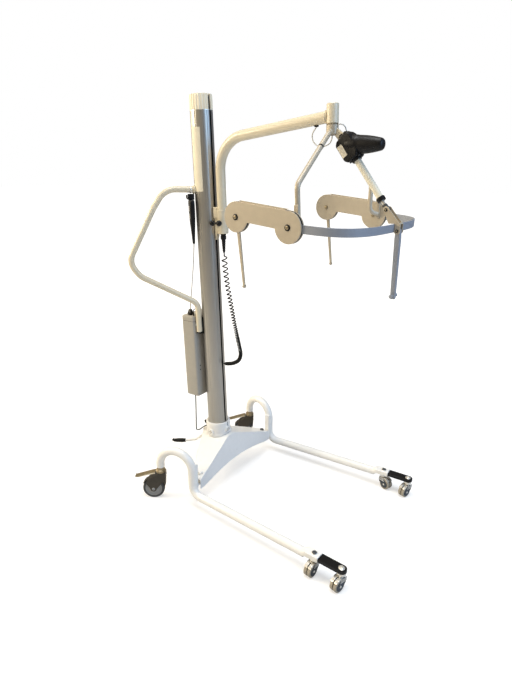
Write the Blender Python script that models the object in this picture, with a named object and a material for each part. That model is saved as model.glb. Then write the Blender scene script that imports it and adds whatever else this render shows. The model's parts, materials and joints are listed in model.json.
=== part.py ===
"""Mobile patient lift: a wheeled base with two opening legs, a leaning mast, a boom on a sliding
carriage and a powered tilting cradle with three hook arms. Metres, +Z up, +X towards the open front,
+Y towards the left side of the lift."""

import math

import bmesh
import bpy
from mathutils import Matrix, Vector

# The ground point under the middle of the whole lift is the origin.
SHIFT = Vector((-0.29934, 0.0244, 0.0))

GAP = 0.0003
SIDES = (("near", -1), ("far", 1))

# Mast
LEAN = math.radians(2.47)
FOOT = Vector((0.0, 0.0, 0.235))
MAST_R = 0.045
MAST_WALL = 0.005
MAST_LOW, MAST_TOP = 0.130, 1.602
CAP_TOP = 1.660
SLOT_HALF = 0.005

# Handles
HANDLE_TURN = math.radians(53)
HANDLE_R = 0.0125
HANDLE_BENDS = (0.085, 0.085, 0.062, 0.090, 0.048)

# Carriage and boom
BOOM_X = 0.083
BOOM_R = 0.0195
SOCKET_R = 0.0222
SOCKET_LOW, SOCKET_TOP = 1.130, 1.226
HUB_X = 0.576
TEE_R = 0.0205
TEE_LOW, TEE_TOP = 1.511, 1.573
HUB_LOW = 1.4735

# Cradle, in the swivel's own axes: x forward from the swivel axis
CRADLE_TURN = math.radians(-4.1)
REAR_BOLT = (-0.190, 1.2213)
FRONT_BOLT = (0.024, 1.1941)
PLATE_OUT, PLATE_IN = 0.292, 0.274
DISC_MID = 0.283
DISC_R = 0.051
DISC_HALF = 0.0037
POCKET_HALF = 0.0040
BAR_REACH = 0.221
BAR_DROP = math.radians(4.5)
BAR_H, BAR_T = 0.027, 0.004
BAR_SQUARE = 3.42
LUG_PIN = (0.0437, 1.4644)
CLEVIS_PIN = (0.2139, 1.2339)
ARM_PIN = (0.2560, 1.1681)
ARM_REACH = 0.240

# Base and legs
PIVOT = (0.090, 0.235)
LEG_R = 0.018
ARCH_R = 0.0782
LEG_REAR = (-0.056, 0.330)
LEG_POST = (0.096, 0.293)
MID_CASTOR = (0.711, 0.325)
FRONT_CASTOR = (0.822, 0.3308)
WHEEL_R = 0.048
TWIN_R = 0.025

STEEL_WHITE = ("powder_coat", (0.86, 0.84, 0.79), 0.35, 0.0)
HOUSING = ("base_coat", (0.84, 0.84, 0.83), 0.35, 0.0)
COLUMN = ("column_anodised", (0.46, 0.45, 0.43), 0.42, 1.0)
BLACK = ("black_plastic", (0.02, 0.02, 0.022), 0.5, 0.0)
CAP = ("cap_plastic", (0.83, 0.80, 0.71), 0.5, 0.0)
BOX = ("box_plastic", (0.42, 0.40, 0.36), 0.55, 0.0)
SILVER = ("cradle_coat", (0.62, 0.60, 0.57), 0.4, 0.3)
BRIGHT = ("bright_metal", (0.78, 0.78, 0.78), 0.25, 1.0)
RUBBER = ("black_rubber", (0.03, 0.03, 0.03), 0.8, 0.0)
TYRE = ("grey_tyre", (0.24, 0.25, 0.26), 0.7, 0.0)
TREAD = ("beige_tread", (0.55, 0.50, 0.41), 0.7, 0.0)
BRASSY = ("brake_metal", (0.46, 0.38, 0.27), 0.4, 1.0)
CORD = ("cord_black", (0.02, 0.02, 0.02), 0.6, 0.0)
CORD_GREY = ("cord_grey", (0.62, 0.62, 0.60), 0.6, 0.0)

UPRIGHT = Matrix.Translation(FOOT) @ Matrix.Rotation(-LEAN, 4, "Y") @ Matrix.Translation(-FOOT)
FLOOR = Matrix.Identity(4)
SWIVEL = UPRIGHT @ Matrix.Translation((HUB_X, 0.0, 0.0)) @ Matrix.Rotation(CRADLE_TURN, 4, "Z")


def clear_scene():
    for obj in list(bpy.data.objects):
        bpy.data.objects.remove(obj)


def material(spec):
    name, colour, roughness, metallic = spec
    found = bpy.data.materials.get(name)
    if found:
        return found
    made = bpy.data.materials.new(name)
    made.use_nodes = True
    shader = made.node_tree.nodes["Principled BSDF"]
    shader.inputs["Base Color"].default_value = (*colour, 1.0)
    shader.inputs["Roughness"].default_value = roughness
    shader.inputs["Metallic"].default_value = metallic
    return made


def add(name, shape, spec, frame=FLOOR, pivot=None, cutter=False):
    """Makes one named object from a bmesh drawn in frame; its origin is pivot, given in the same frame."""
    shape.transform(Matrix.Translation(SHIFT) @ frame)
    origin = SHIFT + frame @ Vector(pivot) if pivot is not None else Vector((0.0, 0.0, 0.0))
    shape.transform(Matrix.Translation(-origin))
    shape.normal_update()
    many = [face for face in shape.faces if len(face.verts) > 4]
    bmesh.ops.triangulate(shape, faces=many)
    bmesh.ops.recalc_face_normals(shape, faces=shape.faces[:])
    mesh = bpy.data.meshes.new(name)
    shape.to_mesh(mesh)
    shape.free()
    obj = bpy.data.objects.new(name, mesh)
    obj.location = origin
    bpy.context.scene.collection.objects.link(obj)
    mesh.materials.append(material(spec))
    if cutter:
        obj.hide_render = True
        obj.display_type = "WIRE"
    return obj


def combine(obj, operation, *shapes, frame=FLOOR):
    """Adds or cuts away each shape with an exact Boolean."""
    for number, shape in enumerate(shapes):
        name = f"{obj.name}_{operation.lower()}_{len(obj.modifiers)}_{number}"
        tool = add(name, shape, BLACK, frame, cutter=True)
        step = obj.modifiers.new(tool.name, "BOOLEAN")
        step.operation = operation
        step.solver = "EXACT"
        step.object = tool
    return obj


def loft(rings, closed=False):
    """Joins rings of equally many points; open ends get caps."""
    shape = bmesh.new()
    rows = [[shape.verts.new(point) for point in ring] for ring in rings]
    pairs = list(zip(rows, rows[1:]))
    if closed:
        pairs.append((rows[-1], rows[0]))
    count = len(rows[0])
    for low, high in pairs:
        for i in range(count):
            j = (i + 1) % count
            shape.faces.new((low[i], low[j], high[j], high[i]))
    if not closed:
        shape.faces.new(rows[0])
        shape.faces.new(rows[-1])
    return shape


def prism(outline, low, high, axis="Z"):
    """Extrudes a 2D outline from low to high. On axis Y the outline is (x, z); on X it is (y, z)."""
    place = {
        "X": lambda a, b, c: (c, a, b),
        "Y": lambda a, b, c: (a, c, b),
        "Z": lambda a, b, c: (a, b, c),
    }[axis]
    return loft([[place(a, b, level) for a, b in outline] for level in (low, high)])


def box(low, high):
    (x0, y0, z0), (x1, y1, z1) = low, high
    return prism([(x0, y0), (x1, y0), (x1, y1), (x0, y1)], z0, z1)


def circle(radius, count, centre=(0.0, 0.0), start=0.0):
    return [
        (
            centre[0] + radius * math.cos(start + math.tau * i / count),
            centre[1] + radius * math.sin(start + math.tau * i / count),
        )
        for i in range(count)
    ]


def rounded_box(half_x, half_y, low, high, radius, steps=2):
    """An upright block about the origin with rounded vertical edges."""
    outline = []
    for sx, sy, turn in ((1, 1, 0), (-1, 1, 1), (-1, -1, 2), (1, -1, 3)):
        for i in range(steps + 1):
            angle = math.pi / 2 * (turn + i / steps)
            outline.append(
                (
                    sx * (half_x - radius) + radius * math.cos(angle),
                    sy * (half_y - radius) + radius * math.sin(angle),
                )
            )
    return prism(outline, low, high)


def lathe(profile, count):
    """Turns an open profile of (radius, height) about Z; the first and last points become flat caps."""
    return loft([[(r * x, r * y, z) for x, y in circle(1.0, count)] for r, z in profile])


def ring_lathe(profile, count):
    """Turns a closed profile of (radius, height) that never meets the axis."""
    return loft([[(r * x, r * y, z) for r, z in profile] for x, y in circle(1.0, count)], closed=True)


def point_z_along(direction, at=(0.0, 0.0, 0.0)):
    """A frame whose Z axis runs along direction from the point at."""
    return Matrix.Translation(at) @ Vector(direction).to_track_quat("Z", "Y").to_matrix().to_4x4()


def moved(shape, matrix):
    shape.transform(matrix)
    return shape


def fillet(points, radius, steps):
    """Rounds the inner corners of a polyline with arcs; radius is one number, or one per corner."""
    points = [Vector(point) for point in points]
    radii = radius if isinstance(radius, (list, tuple)) else [radius] * (len(points) - 2)
    path = [points[0]]
    for before, corner, after, radius in zip(points, points[1:], points[2:], radii):
        back = (before - corner).normalized()
        ahead = (after - corner).normalized()
        half = back.angle(ahead) / 2
        reach = radius / math.tan(half)
        centre = corner + (back + ahead).normalized() * (radius / math.sin(half))
        first = (corner + back * reach - centre).normalized()
        last = (corner + ahead * reach - centre).normalized()
        for i in range(steps + 1):
            path.append(centre + first.slerp(last, i / steps) * radius)
    path.append(points[-1])
    return path


def tangents(path):
    found = []
    for i in range(len(path)):
        before = path[max(i - 1, 0)]
        after = path[min(i + 1, len(path) - 1)]
        found.append((after - before).normalized())
    return found


def tube(path, radius, count):
    """Sweeps a circle along a path; radius is one number, or one per point."""
    path = [Vector(point) for point in path]
    radii = radius if isinstance(radius, (list, tuple)) else [radius] * len(path)
    across = None
    rings = []
    for point, ahead, size in zip(path, tangents(path), radii):
        if across is None:
            across = ahead.orthogonal().normalized()
        across = (across - ahead * across.dot(ahead)).normalized()
        side = ahead.cross(across)
        rings.append([point + (across * x + side * y) * size for x, y in circle(1.0, count)])
    return loft(rings)


def flat_bar(path, height, thickness, up):
    """Sweeps an upright rectangle along a flat path."""
    path = [Vector(point) for point in path]
    up = Vector(up)
    rings = []
    for point, ahead in zip(path, tangents(path)):
        side = up.cross(ahead).normalized()
        corners = ((1, 1), (-1, 1), (-1, -1), (1, -1))
        rings.append([point + up * (a * height / 2) + side * (b * thickness / 2) for a, b in corners])
    return loft(rings)


# ---------------------------------------------------------------- base


def housing_section(y, inset=0.0):
    """The base housing's cross-section at y: front low, front top, rear top, rear low."""
    out = min(max((abs(y) - 0.02) / 0.243, 0.0), 1.0)
    front_top = 0.075 + 0.041 * out
    front_low = 0.108 + 0.008 * out
    rear = -0.075 + 0.135 * out
    top = 0.205 - 0.089 * out
    low = 0.097 - 0.027 * min(out * 1.15, 1.0) ** 2
    if inset:
        low = 0.03
    return [
        (front_low - inset, y, low),
        (front_top - inset, y, top - inset),
        (rear + inset, y, top - inset),
        (rear + inset, y, low),
    ]


def build_base():
    ends = 0.263
    rows = [-ends, -0.215, -0.165, -0.115, -0.065, -0.02, 0.02, 0.065, 0.115, 0.165, 0.215, ends]
    base = add("base_housing", loft([housing_section(y) for y in rows]), HOUSING)
    hollow_rows = [-ends - 0.01] + rows[1:-1] + [ends + 0.01]
    collar = lathe([(0.0565, 0.150), (0.0565, 0.262)], 20)
    combine(base, "UNION", collar, frame=UPRIGHT)
    combine(base, "DIFFERENCE", loft([housing_section(y, 0.004) for y in hollow_rows]))
    for _, s in SIDES:
        x, y = PIVOT
        pin = moved(lathe([(0.006, 0.074), (0.006, 0.1235)], 12), Matrix.Translation((x, s * y, 0.0)))
        combine(base, "UNION", pin)
    bore = lathe([(MAST_R + 0.0012, 0.05), (MAST_R + 0.0012, 0.30)], 20)
    combine(base, "DIFFERENCE", bore, frame=UPRIGHT)


def build_pedals():
    hub_x, hub_z = -0.0860, 0.155
    hub = moved(lathe([(0.012, -0.008), (0.012, 0.008)], 12), point_z_along((1, 0, 0), (hub_x, 0, hub_z)))
    bar = add("pedal_bar", hub, STEEL_WHITE, pivot=(hub_x, 0, hub_z))
    for name, s in SIDES:
        joint = Vector((-0.124, s * 0.092, 0.148))
        tip = Vector((-0.178, s * 0.116, 0.141))
        arm = fillet(
            [(hub_x, 0, hub_z), (-0.0875, s * 0.062, 0.153), joint, tip * 0.4 + joint * 0.6], 0.012, 2,
        )
        combine(bar, "UNION", tube(arm, 0.0052, 8))
        ahead = (tip - joint).normalized()
        start = joint + ahead * 0.004
        curl = [start, start + ahead * 0.030, tip, tip + ahead * 0.012 + Vector((0, 0, 0.006))]
        grip = add(
            f"pedal_grip_{name}", tube(curl, [0.0085, 0.0095, 0.0085, 0.006], 10), RUBBER, pivot=start,
        )
        bore = tube([start - ahead * 0.01, tip * 0.4 + joint * 0.6 + ahead * 0.0006], 0.0056, 8)
        combine(grip, "DIFFERENCE", bore)


# ---------------------------------------------------------------- legs


def leg_path(s):
    rear = Vector((LEG_REAR[0], s * LEG_REAR[1], 0.0))
    post = Vector((LEG_POST[0], s * LEG_POST[1], 0.0))
    middle = (rear + post) / 2
    ahead = (post - rear).normalized()
    rise = 0.169
    path = [rear + Vector((0, 0, 0.155))]
    steps = 8
    for i in range(steps + 1):
        angle = math.pi * (1 - i / steps)
        path.append(
            middle + ahead * (ARCH_R * math.cos(angle)) + Vector((0, 0, rise + ARCH_R * math.sin(angle)))
        )
    run_end = Vector((0.668, s * 0.3228, 0.0655))
    corner = post + Vector((0, 0, 0.056))
    bend = fillet([post + Vector((0, 0, 0.16)), corner, run_end], 0.046, 4)
    return path + bend[1:]


def build_legs():
    for name, s in SIDES:
        x, y = PIVOT
        pivot = (x, s * y, 0.09)
        leg = add(f"leg_{name}_tube", tube(leg_path(s), LEG_R, 10), STEEL_WHITE, pivot=pivot)
        low, high = between(s, 0.2695, 0.2805)
        strip = box((0.084, low, 0.070), (0.108, high, 0.196))
        lug = prism([(0.077, 0.222), (0.103, 0.222), (0.105, 0.275), (0.079, 0.275)], 0.083, 0.095)
        lug = moved(lug, Matrix.Diagonal((1, s, 1, 1)))
        hole = moved(lathe([(0.0064, 0.07), (0.0064, 0.11)], 12), Matrix.Translation((x, s * y, 0)))
        combine(leg, "UNION", strip, lug)
        combine(leg, "DIFFERENCE", hole)
        ahead = Vector(
            (FRONT_CASTOR[0] - MID_CASTOR[0], s * (FRONT_CASTOR[1] - MID_CASTOR[1]), 0)
        ).normalized()
        turn = Matrix.Translation((MID_CASTOR[0], s * MID_CASTOR[1], 0)) @ Matrix.Rotation(
            math.atan2(ahead.y, ahead.x), 4, "Z"
        )
        bracket = moved(box((-0.058, -0.021, 0.067), (0.0235, 0.021, 0.087)), turn)
        combine(leg, "UNION", bracket)
        outline = [(0.0238, -0.019), (0.112, -0.019)]
        outline += [
            (0.1115 + 0.019 * math.cos(a), 0.019 * math.sin(a))
            for a in [math.radians(d) for d in (-70, -45, -20, 0, 20, 45, 70)]
        ]
        outline += [(0.112, 0.019), (0.0238, 0.019)]
        add(f"leg_{name}_bar", moved(prism(outline, 0.0710, 0.0845), turn), BLACK, pivot=pivot)


def rear_frame(s):
    """Swivel axes of a rear castor: x runs back along its trail."""
    turn = math.radians(180 + 35)
    return Matrix.Translation((LEG_REAR[0], s * LEG_REAR[1], 0)) @ Matrix.Rotation(turn, 4, "Z")


def build_rear_castors():
    trail = 0.034
    for name, s in SIDES:
        frame = rear_frame(s)
        head = lathe([(0.021, 0.112), (0.021, 0.134), (0.016, 0.1385), (0.016, 0.155 - GAP)], 14)
        fork = add(f"rear_castor_{name}_fork", head, BLACK, frame, pivot=(0, 0, 0.1))
        cheek = [
            (-0.021, 0.126),
            (-0.021, 0.108),
            (trail - 0.014, 0.045),
            (trail - 0.006, 0.036),
            (trail + 0.006, 0.036),
            (trail + 0.014, 0.045),
            (trail + 0.030, 0.070),
            (trail + 0.022, 0.099),
            (trail + 0.002, 0.107),
            (0.021, 0.126),
        ]
        combine(fork, "UNION", prism(cheek, -0.0175, 0.0175, "Y"), frame=frame)
        gap = prism(circle(WHEEL_R + 0.003, 20, (trail, WHEEL_R)), -0.0135, 0.0135, "Y")
        combine(fork, "DIFFERENCE", gap, frame=frame)
        axle = prism(circle(0.005, 10, (trail, WHEEL_R)), -0.0150, 0.0150, "Y")
        combine(fork, "UNION", axle, frame=frame)
        half = 0.0125
        wheel = [
            (0.0054, half - 0.003), (0.033, half - 0.003), (0.034, half), (0.043, half),
            (WHEEL_R, half - 0.005),
        ]
        wheel = wheel + [(r, -w) for r, w in reversed(wheel)]
        place = Matrix.Translation((trail, 0, WHEEL_R)) @ Matrix.Rotation(math.radians(90), 4, "X")
        add(
            f"rear_castor_{name}_wheel",
            moved(ring_lathe(wheel, 20), place),
            TYRE,
            frame,
            pivot=(trail, 0, WHEEL_R),
        )
        lever = [
            (0.0235, 0.1285),
            (0.040, 0.1255),
            (0.108, 0.1035),
            (0.1125, 0.1055),
            (0.1125, 0.1095),
            (0.107, 0.1085),
            (0.040, 0.1295),
            (0.0235, 0.1335),
        ]
        add(
            f"rear_castor_{name}_brake", prism(lever, -0.013, 0.013, "Y"), BRASSY, frame,
            pivot=(0.026, 0, 0.131),
        )


def twin_frame(at, s, turn):
    return Matrix.Translation((at[0], s * at[1], 0)) @ Matrix.Rotation(math.radians(turn), 4, "Z")


TWINS = (
    ("mid_castor_near", MID_CASTOR, -1, -97, 0.067),
    ("front_castor_near", FRONT_CASTOR, -1, -104, 0.071),
    ("mid_castor_far", MID_CASTOR, 1, -20, 0.067),
    ("front_castor_far", FRONT_CASTOR, 1, -107, 0.071),
)


def build_twin_castors():
    trail = 0.019
    for name, at, s, turn, top in TWINS:
        frame = twin_frame(at, s, turn)
        stem = lathe([(0.0135, 0.0525), (0.0135, 0.058), (0.0165, 0.0585), (0.0165, top - GAP)], 12)
        hood = add(f"{name}_hood", stem, BRIGHT, frame, pivot=(0, 0, 0.05))
        web = [
            (-0.010, 0.056), (-0.010, 0.040), (trail - 0.008, 0.020), (trail, 0.017), (trail + 0.008, 0.020),
        ]
        web += [(trail + 0.010, 0.045), (0.014, 0.056)]
        combine(hood, "UNION", prism(web, -0.0021, 0.0021, "Y"), frame=frame)
        arc = [math.radians(d) for d in (48, 75, 100, 125, 150, 175)]
        outline = [(trail + 0.0300 * math.cos(a), TWIN_R + 0.0300 * math.sin(a)) for a in arc]
        outline += [(trail + 0.0268 * math.cos(a), TWIN_R + 0.0268 * math.sin(a)) for a in reversed(arc)]
        combine(hood, "UNION", prism(outline, -0.0135, 0.0135, "Y"), frame=frame)
        combine(
            hood, "DIFFERENCE", prism(circle(0.0046, 10, (trail, TWIN_R)), -0.02, 0.02, "Y"), frame=frame
        )
        profile = [
            (0.012, 0.0145), (TWIN_R - 0.003, 0.0145), (TWIN_R, 0.0120), (TWIN_R, 0.0035), (0.0042, 0.0030),
        ]
        profile = profile + [(r, -w) for r, w in reversed(profile)]
        place = Matrix.Translation((trail, 0, TWIN_R)) @ Matrix.Rotation(math.radians(90), 4, "X")
        add(f"{name}_wheels", moved(lathe(profile, 16), place), TREAD, frame, pivot=(trail, 0, TWIN_R))


# ---------------------------------------------------------------- mast


def build_mast():
    outer, inner = MAST_R, MAST_R - MAST_WALL
    open_out = math.asin(SLOT_HALF / outer)
    open_in = math.asin(SLOT_HALF / inner)
    steps = 22
    outline = []
    for i in range(steps + 1):
        angle = open_out + (math.tau - 2 * open_out) * i / steps
        outline.append((outer * math.cos(angle), outer * math.sin(angle)))
    for i in reversed(range(steps + 1)):
        angle = open_in + (math.tau - 2 * open_in) * i / steps
        outline.append((inner * math.cos(angle), inner * math.sin(angle)))
    add("mast_column", prism(outline, MAST_LOW, MAST_TOP), COLUMN, UPRIGHT, pivot=(0, 0, MAST_LOW))
    add("slot_strip", box((0.0352, -0.0062, 0.265), (0.0382, 0.0062, CAP_TOP - 0.006)), RUBBER, UPRIGHT)
    radii = [(MAST_R + 0.0004) if i % 2 else (MAST_R - 0.0012) for i in range(32)]
    ribbed = [
        (r * math.cos(math.tau * i / 32), r * math.sin(math.tau * i / 32))
        for i, r in enumerate(radii)
    ]
    cap = add("mast_cap", prism(ribbed, MAST_TOP + GAP, CAP_TOP), CAP, UPRIGHT, pivot=(0, 0, MAST_TOP))
    groove = box((0.0345, -0.0066, 1.5), (0.07, 0.0066, 1.7))
    combine(cap, "DIFFERENCE", groove, frame=UPRIGHT)


def handle_frame(s):
    return UPRIGHT @ Matrix.Rotation(math.pi + s * -HANDLE_TURN, 4, "Z")


def build_handles():
    for name, s in SIDES:
        frame = handle_frame(s)
        corners = [
            (0.0458, 0, 1.306),
            (0.168, 0, 1.312),
            (0.222, 0, 1.234),
            (0.336, 0, 1.030),
            (0.296, 0, 0.968),
            (0.062, 0, 0.832),
            (0.062, 0, 0.702),
        ]
        path = fillet(corners, HANDLE_BENDS, 3)
        add(f"handle_{name}", tube(path, HANDLE_R, 8), STEEL_WHITE, frame, pivot=(0.0458, 0, 1.306))
    inner, outer = MAST_R + GAP, 0.0491
    arc = [math.radians(d) for d in range(180 - 66, 180 + 67, 12)]
    outline = [(outer * math.cos(a), outer * math.sin(a)) for a in arc]
    outline += [(inner * math.cos(a), inner * math.sin(a)) for a in reversed(arc)]
    add("handle_clamp", prism(outline, 0.694, 0.768), BLACK, UPRIGHT, pivot=(-0.045, 0, 0.73))


def build_box():
    at = Matrix.Translation((-0.0862, 0, 0))
    body = add(
        "control_box", rounded_box(0.036, 0.070, 0.392, 0.772, 0.009), BOX, UPRIGHT @ at,
        pivot=(0, 0, 0.392),
    )
    edge = body.modifiers.new("edge", "BEVEL")
    edge.width = 0.004
    edge.segments = 1
    edge.limit_method = "ANGLE"
    edge.angle_limit = math.radians(60)
    plug = rounded_box(0.011, 0.009, 0.772 + GAP, 0.798, 0.003, 1)
    add("box_connector", moved(plug, Matrix.Translation((-0.088, -0.046, 0))), BLACK, UPRIGHT)


def build_handset():
    frame = handle_frame(-1)
    hook = [(0.0800, 0, 1.2860), (0.0800, 0, 1.2740), (0.0745, 0, 1.2690), (0.0560, 0, 1.2690)]
    strap = flat_bar(hook, 0.016, 0.004, (0, 1, 0))
    add("handset_hook", strap, BLACK, frame, pivot=(0.08, 0, 1.286))
    half_depth, centre = 0.010, 0.0625
    levels = [
        (1.088, 0.010, 0.007),
        (1.110, 0.013, 0.009),
        (1.165, 0.0175, half_depth),
        (1.225, 0.023, half_depth),
        (1.258, 0.0235, half_depth),
        (1.2660, 0.018, 0.008),
    ]
    rings = []
    for z, half_width, depth in levels:
        cut = 0.004
        corner = [
            (depth - cut, half_width),
            (depth, half_width - cut),
            (depth, -half_width + cut),
            (depth - cut, -half_width),
            (-depth + cut, -half_width),
            (-depth, -half_width + cut),
            (-depth, half_width - cut),
            (-depth + cut, half_width),
        ]
        rings.append([(centre + a, b, z) for a, b in corner])
    handset = add("handset", loft(rings), BLACK, frame, pivot=(centre, 0, 1.17))
    for number, z in enumerate((1.232, 1.202)):
        well = box((centre + half_depth - 0.0030, -0.0112, z - 0.0087), (centre + 0.02, 0.0112, z + 0.0087))
        combine(handset, "DIFFERENCE", well, frame=frame)
        key = box(
            (centre + half_depth - 0.0018, -0.0105, z - 0.008),
            (centre + half_depth + 0.0016, 0.0105, z + 0.008),
        )
        add(f"handset_key_{number + 1}", key, BRIGHT, frame, pivot=(centre + half_depth, 0, z))


# ---------------------------------------------------------------- boom


def boom_path():
    slope = math.tan(math.radians(5.4))
    knee = Vector((BOOM_X, 0, 1.488))
    end = Vector((HUB_X - TEE_R - GAP, 0, knee.z + slope * (HUB_X - TEE_R - BOOM_X)))
    return fillet([(BOOM_X, 0, SOCKET_LOW + 0.012), knee, end], 0.125, 7)


def build_boom():
    upper = box((0.0475, -0.016, 1.192), (0.068, 0.016, 1.236))
    carriage = add("carriage", upper, STEEL_WHITE, UPRIGHT, pivot=(0.0475, 0, 1.18))
    fin = prism(
        [(0.0475, 1.200), (0.0475, 1.104), (0.0515, 1.104), (0.0660, 1.165), (0.0660, 1.200)], -0.010, 0.010,
        "Y",
    )
    tongue = box((0.0396, -0.0044, 1.110), (0.0490, 0.0044, 1.230))
    sleeve = moved(
        lathe([(SOCKET_R, SOCKET_LOW), (SOCKET_R, SOCKET_TOP)], 16), Matrix.Translation((BOOM_X, 0, 0)),
    )
    combine(carriage, "UNION", fin, tongue, sleeve, frame=UPRIGHT)
    bore = moved(
        lathe([(BOOM_R + 0.0007, 1.0), (BOOM_R + 0.0007, 1.3)], 16), Matrix.Translation((BOOM_X, 0, 0)),
    )
    combine(carriage, "DIFFERENCE", bore, frame=UPRIGHT)
    boom = add(
        "boom_tube", tube(boom_path(), BOOM_R, 14), STEEL_WHITE, UPRIGHT, pivot=(BOOM_X, 0, SOCKET_LOW),
    )
    combine(
        boom,
        "DIFFERENCE",
        moved(lathe([(TEE_R + GAP, 1.4), (TEE_R + GAP, 1.7)], 20), Matrix.Translation((HUB_X, 0, 0))),
        frame=UPRIGHT,
    )
    tee = moved(
        lathe([(TEE_R, TEE_LOW), (TEE_R, TEE_TOP - 0.003), (TEE_R - 0.003, TEE_TOP)], 20),
        Matrix.Translation((HUB_X, 0, 0)),
    )
    add("boom_tee", tee, STEEL_WHITE, UPRIGHT, pivot=(HUB_X, 0, TEE_LOW))
    relief = [(0.0055, 1.052), (0.0085, 1.105), (0.0120, 1.108), (0.0120, 1.1417)]
    add(
        "boom_gland", moved(lathe(relief, 12), Matrix.Translation((BOOM_X, 0, 0))), BLACK, UPRIGHT,
        pivot=(BOOM_X, 0, 1.14),
    )
    stem = moved(
        lathe([(0.0045, 0.0232), (0.0045, 0.034)], 10), point_z_along((0, -1, 0), (0.074, 0, 1.174)),
    )
    knob = add("clamp_handle", stem, BLACK, UPRIGHT, pivot=(0.074, -0.034, 1.174))
    dumbbell = [(0.004, -0.0265), (0.0090, -0.0235), (0.0105, -0.0170), (0.0085, -0.0105), (0.0050, -0.007)]
    dumbbell = dumbbell + [(r, -z) for r, z in reversed(dumbbell)]
    combine(
        knob, "UNION", moved(lathe(dumbbell, 10), point_z_along((1, 0, 0), (0.074, -0.0345, 1.174))),
        frame=UPRIGHT,
    )


# ---------------------------------------------------------------- cradle


def build_hub():
    column = lathe([(0.0185, HUB_LOW), (0.0205, HUB_LOW + 0.003), (0.0205, TEE_LOW - 0.0006)], 20)
    hub = add("swivel_hub", column, STEEL_WHITE, SWIVEL, pivot=(0, 0, HUB_LOW))
    x, z = LUG_PIN
    lug = [
        (0.012, 1.500), (0.012, 1.476), (x - 0.006, z - 0.0105), (x + 0.006, z - 0.0105), (x + 0.011, z),
        (x + 0.006, z + 0.0105),
    ]
    combine(hub, "UNION", prism(lug, -0.005, 0.005, "Y"), frame=SWIVEL)


def yoke_path(s):
    return fillet(
        [
            (0.0015, s * 0.0150, 1.4870),
            (0.0275, s * 0.2440, 1.3200),
            (0.0262, s * 0.2380, 1.2120),
            (0.0440, s * (PLATE_IN - 0.0010), 1.1975),
        ],
        0.028,
        3,
    )


def build_yoke():
    for name, s in SIDES:
        yoke = add(f"yoke_{name}", tube(yoke_path(s), 0.0088, 10), SILVER, SWIVEL, pivot=(0, 0, 1.487))
        bore = lathe([(0.0205 + GAP, 1.4), (0.0205 + GAP, 1.6)], 20)
        low, high = between(s, PLATE_IN - 0.0053, PLATE_IN + 0.02)
        weld = box((0.0, low, 1.15), (0.1, high, 1.25))
        combine(yoke, "DIFFERENCE", bore, weld, frame=SWIVEL)


def plate_outline():
    """Outline of a side plate: a round end at each bolt and a band between them."""
    (x0, z0), (x1, z1) = REAR_BOLT, FRONT_BOLT
    length = math.hypot(x1 - x0, z1 - z0)
    tilt = math.atan2(z1 - z0, x1 - x0)
    low = math.degrees(math.asin(0.011 / DISC_R))
    rear = [-low, -30, -50, -70, -88, -138, -158, -178, -197, -236, -253, -270]
    front = [90, 68, 45, 22, 0, -22, -45, -68, -90, -112, -135, -153, -180 + low]
    points = [(DISC_R * math.cos(math.radians(d)), DISC_R * math.sin(math.radians(d))) for d in rear]
    points += [
        (length + DISC_R * math.cos(math.radians(d)), DISC_R * math.sin(math.radians(d)))
        for d in front
    ]
    cos, sin = math.cos(tilt), math.sin(tilt)
    return [(x0 + a * cos - b * sin, z0 + a * sin + b * cos) for a, b in points]


def between(s, low, high):
    return (s * low, s * high) if s > 0 else (s * high, s * low)


def build_side_plates():
    for name, s in SIDES:
        low, high = between(s, PLATE_IN, PLATE_OUT)
        plate = add(
            f"side_plate_{name}", prism(plate_outline(), low, high, "Y"), SILVER, SWIVEL,
            pivot=(0, s * DISC_MID, 1.2),
        )
        low, high = between(s, PLATE_IN - 0.005, PLATE_IN + 0.001)
        strip = prism([(0.036, 1.182), (0.052, 1.182), (0.052, 1.262), (0.036, 1.262)], low, high, "Y")
        combine(plate, "UNION", strip, frame=SWIVEL)
        low, high = between(s, DISC_MID - POCKET_HALF, DISC_MID + POCKET_HALF)
        for bolt in (REAR_BOLT, FRONT_BOLT):
            combine(
                plate, "DIFFERENCE", prism(circle(DISC_R + 0.0040, 18, bolt), low, high, "Y"), frame=SWIVEL,
            )
            hole = prism(circle(0.0056, 8, bolt), *between(s, PLATE_IN + 0.002, PLATE_OUT + 0.01), "Y")
            combine(plate, "DIFFERENCE", hole, frame=SWIVEL)


def spindle_disc(name, bolt, s, spec):
    """A disc held between the plates, with its bolt standing out through the outer plate."""
    x, z = bolt
    out = DISC_MID + DISC_HALF
    disc = [
        (0.010, DISC_MID - DISC_HALF), (DISC_R - 0.0004, DISC_MID - DISC_HALF), (DISC_R - 0.0004, out),
        (0.0050, out),
    ]
    bolt_profile = [
        (0.0050, PLATE_OUT + 0.0005), (0.0085, PLATE_OUT + 0.0005), (0.0085, PLATE_OUT + 0.0035),
        (0.0055, PLATE_OUT + 0.0050),
    ]
    place = point_z_along((0, s, 0), (x, 0, z))
    return add(name, moved(lathe(disc + bolt_profile, 16), place), spec, SWIVEL, pivot=(x, s * DISC_MID, z))


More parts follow.
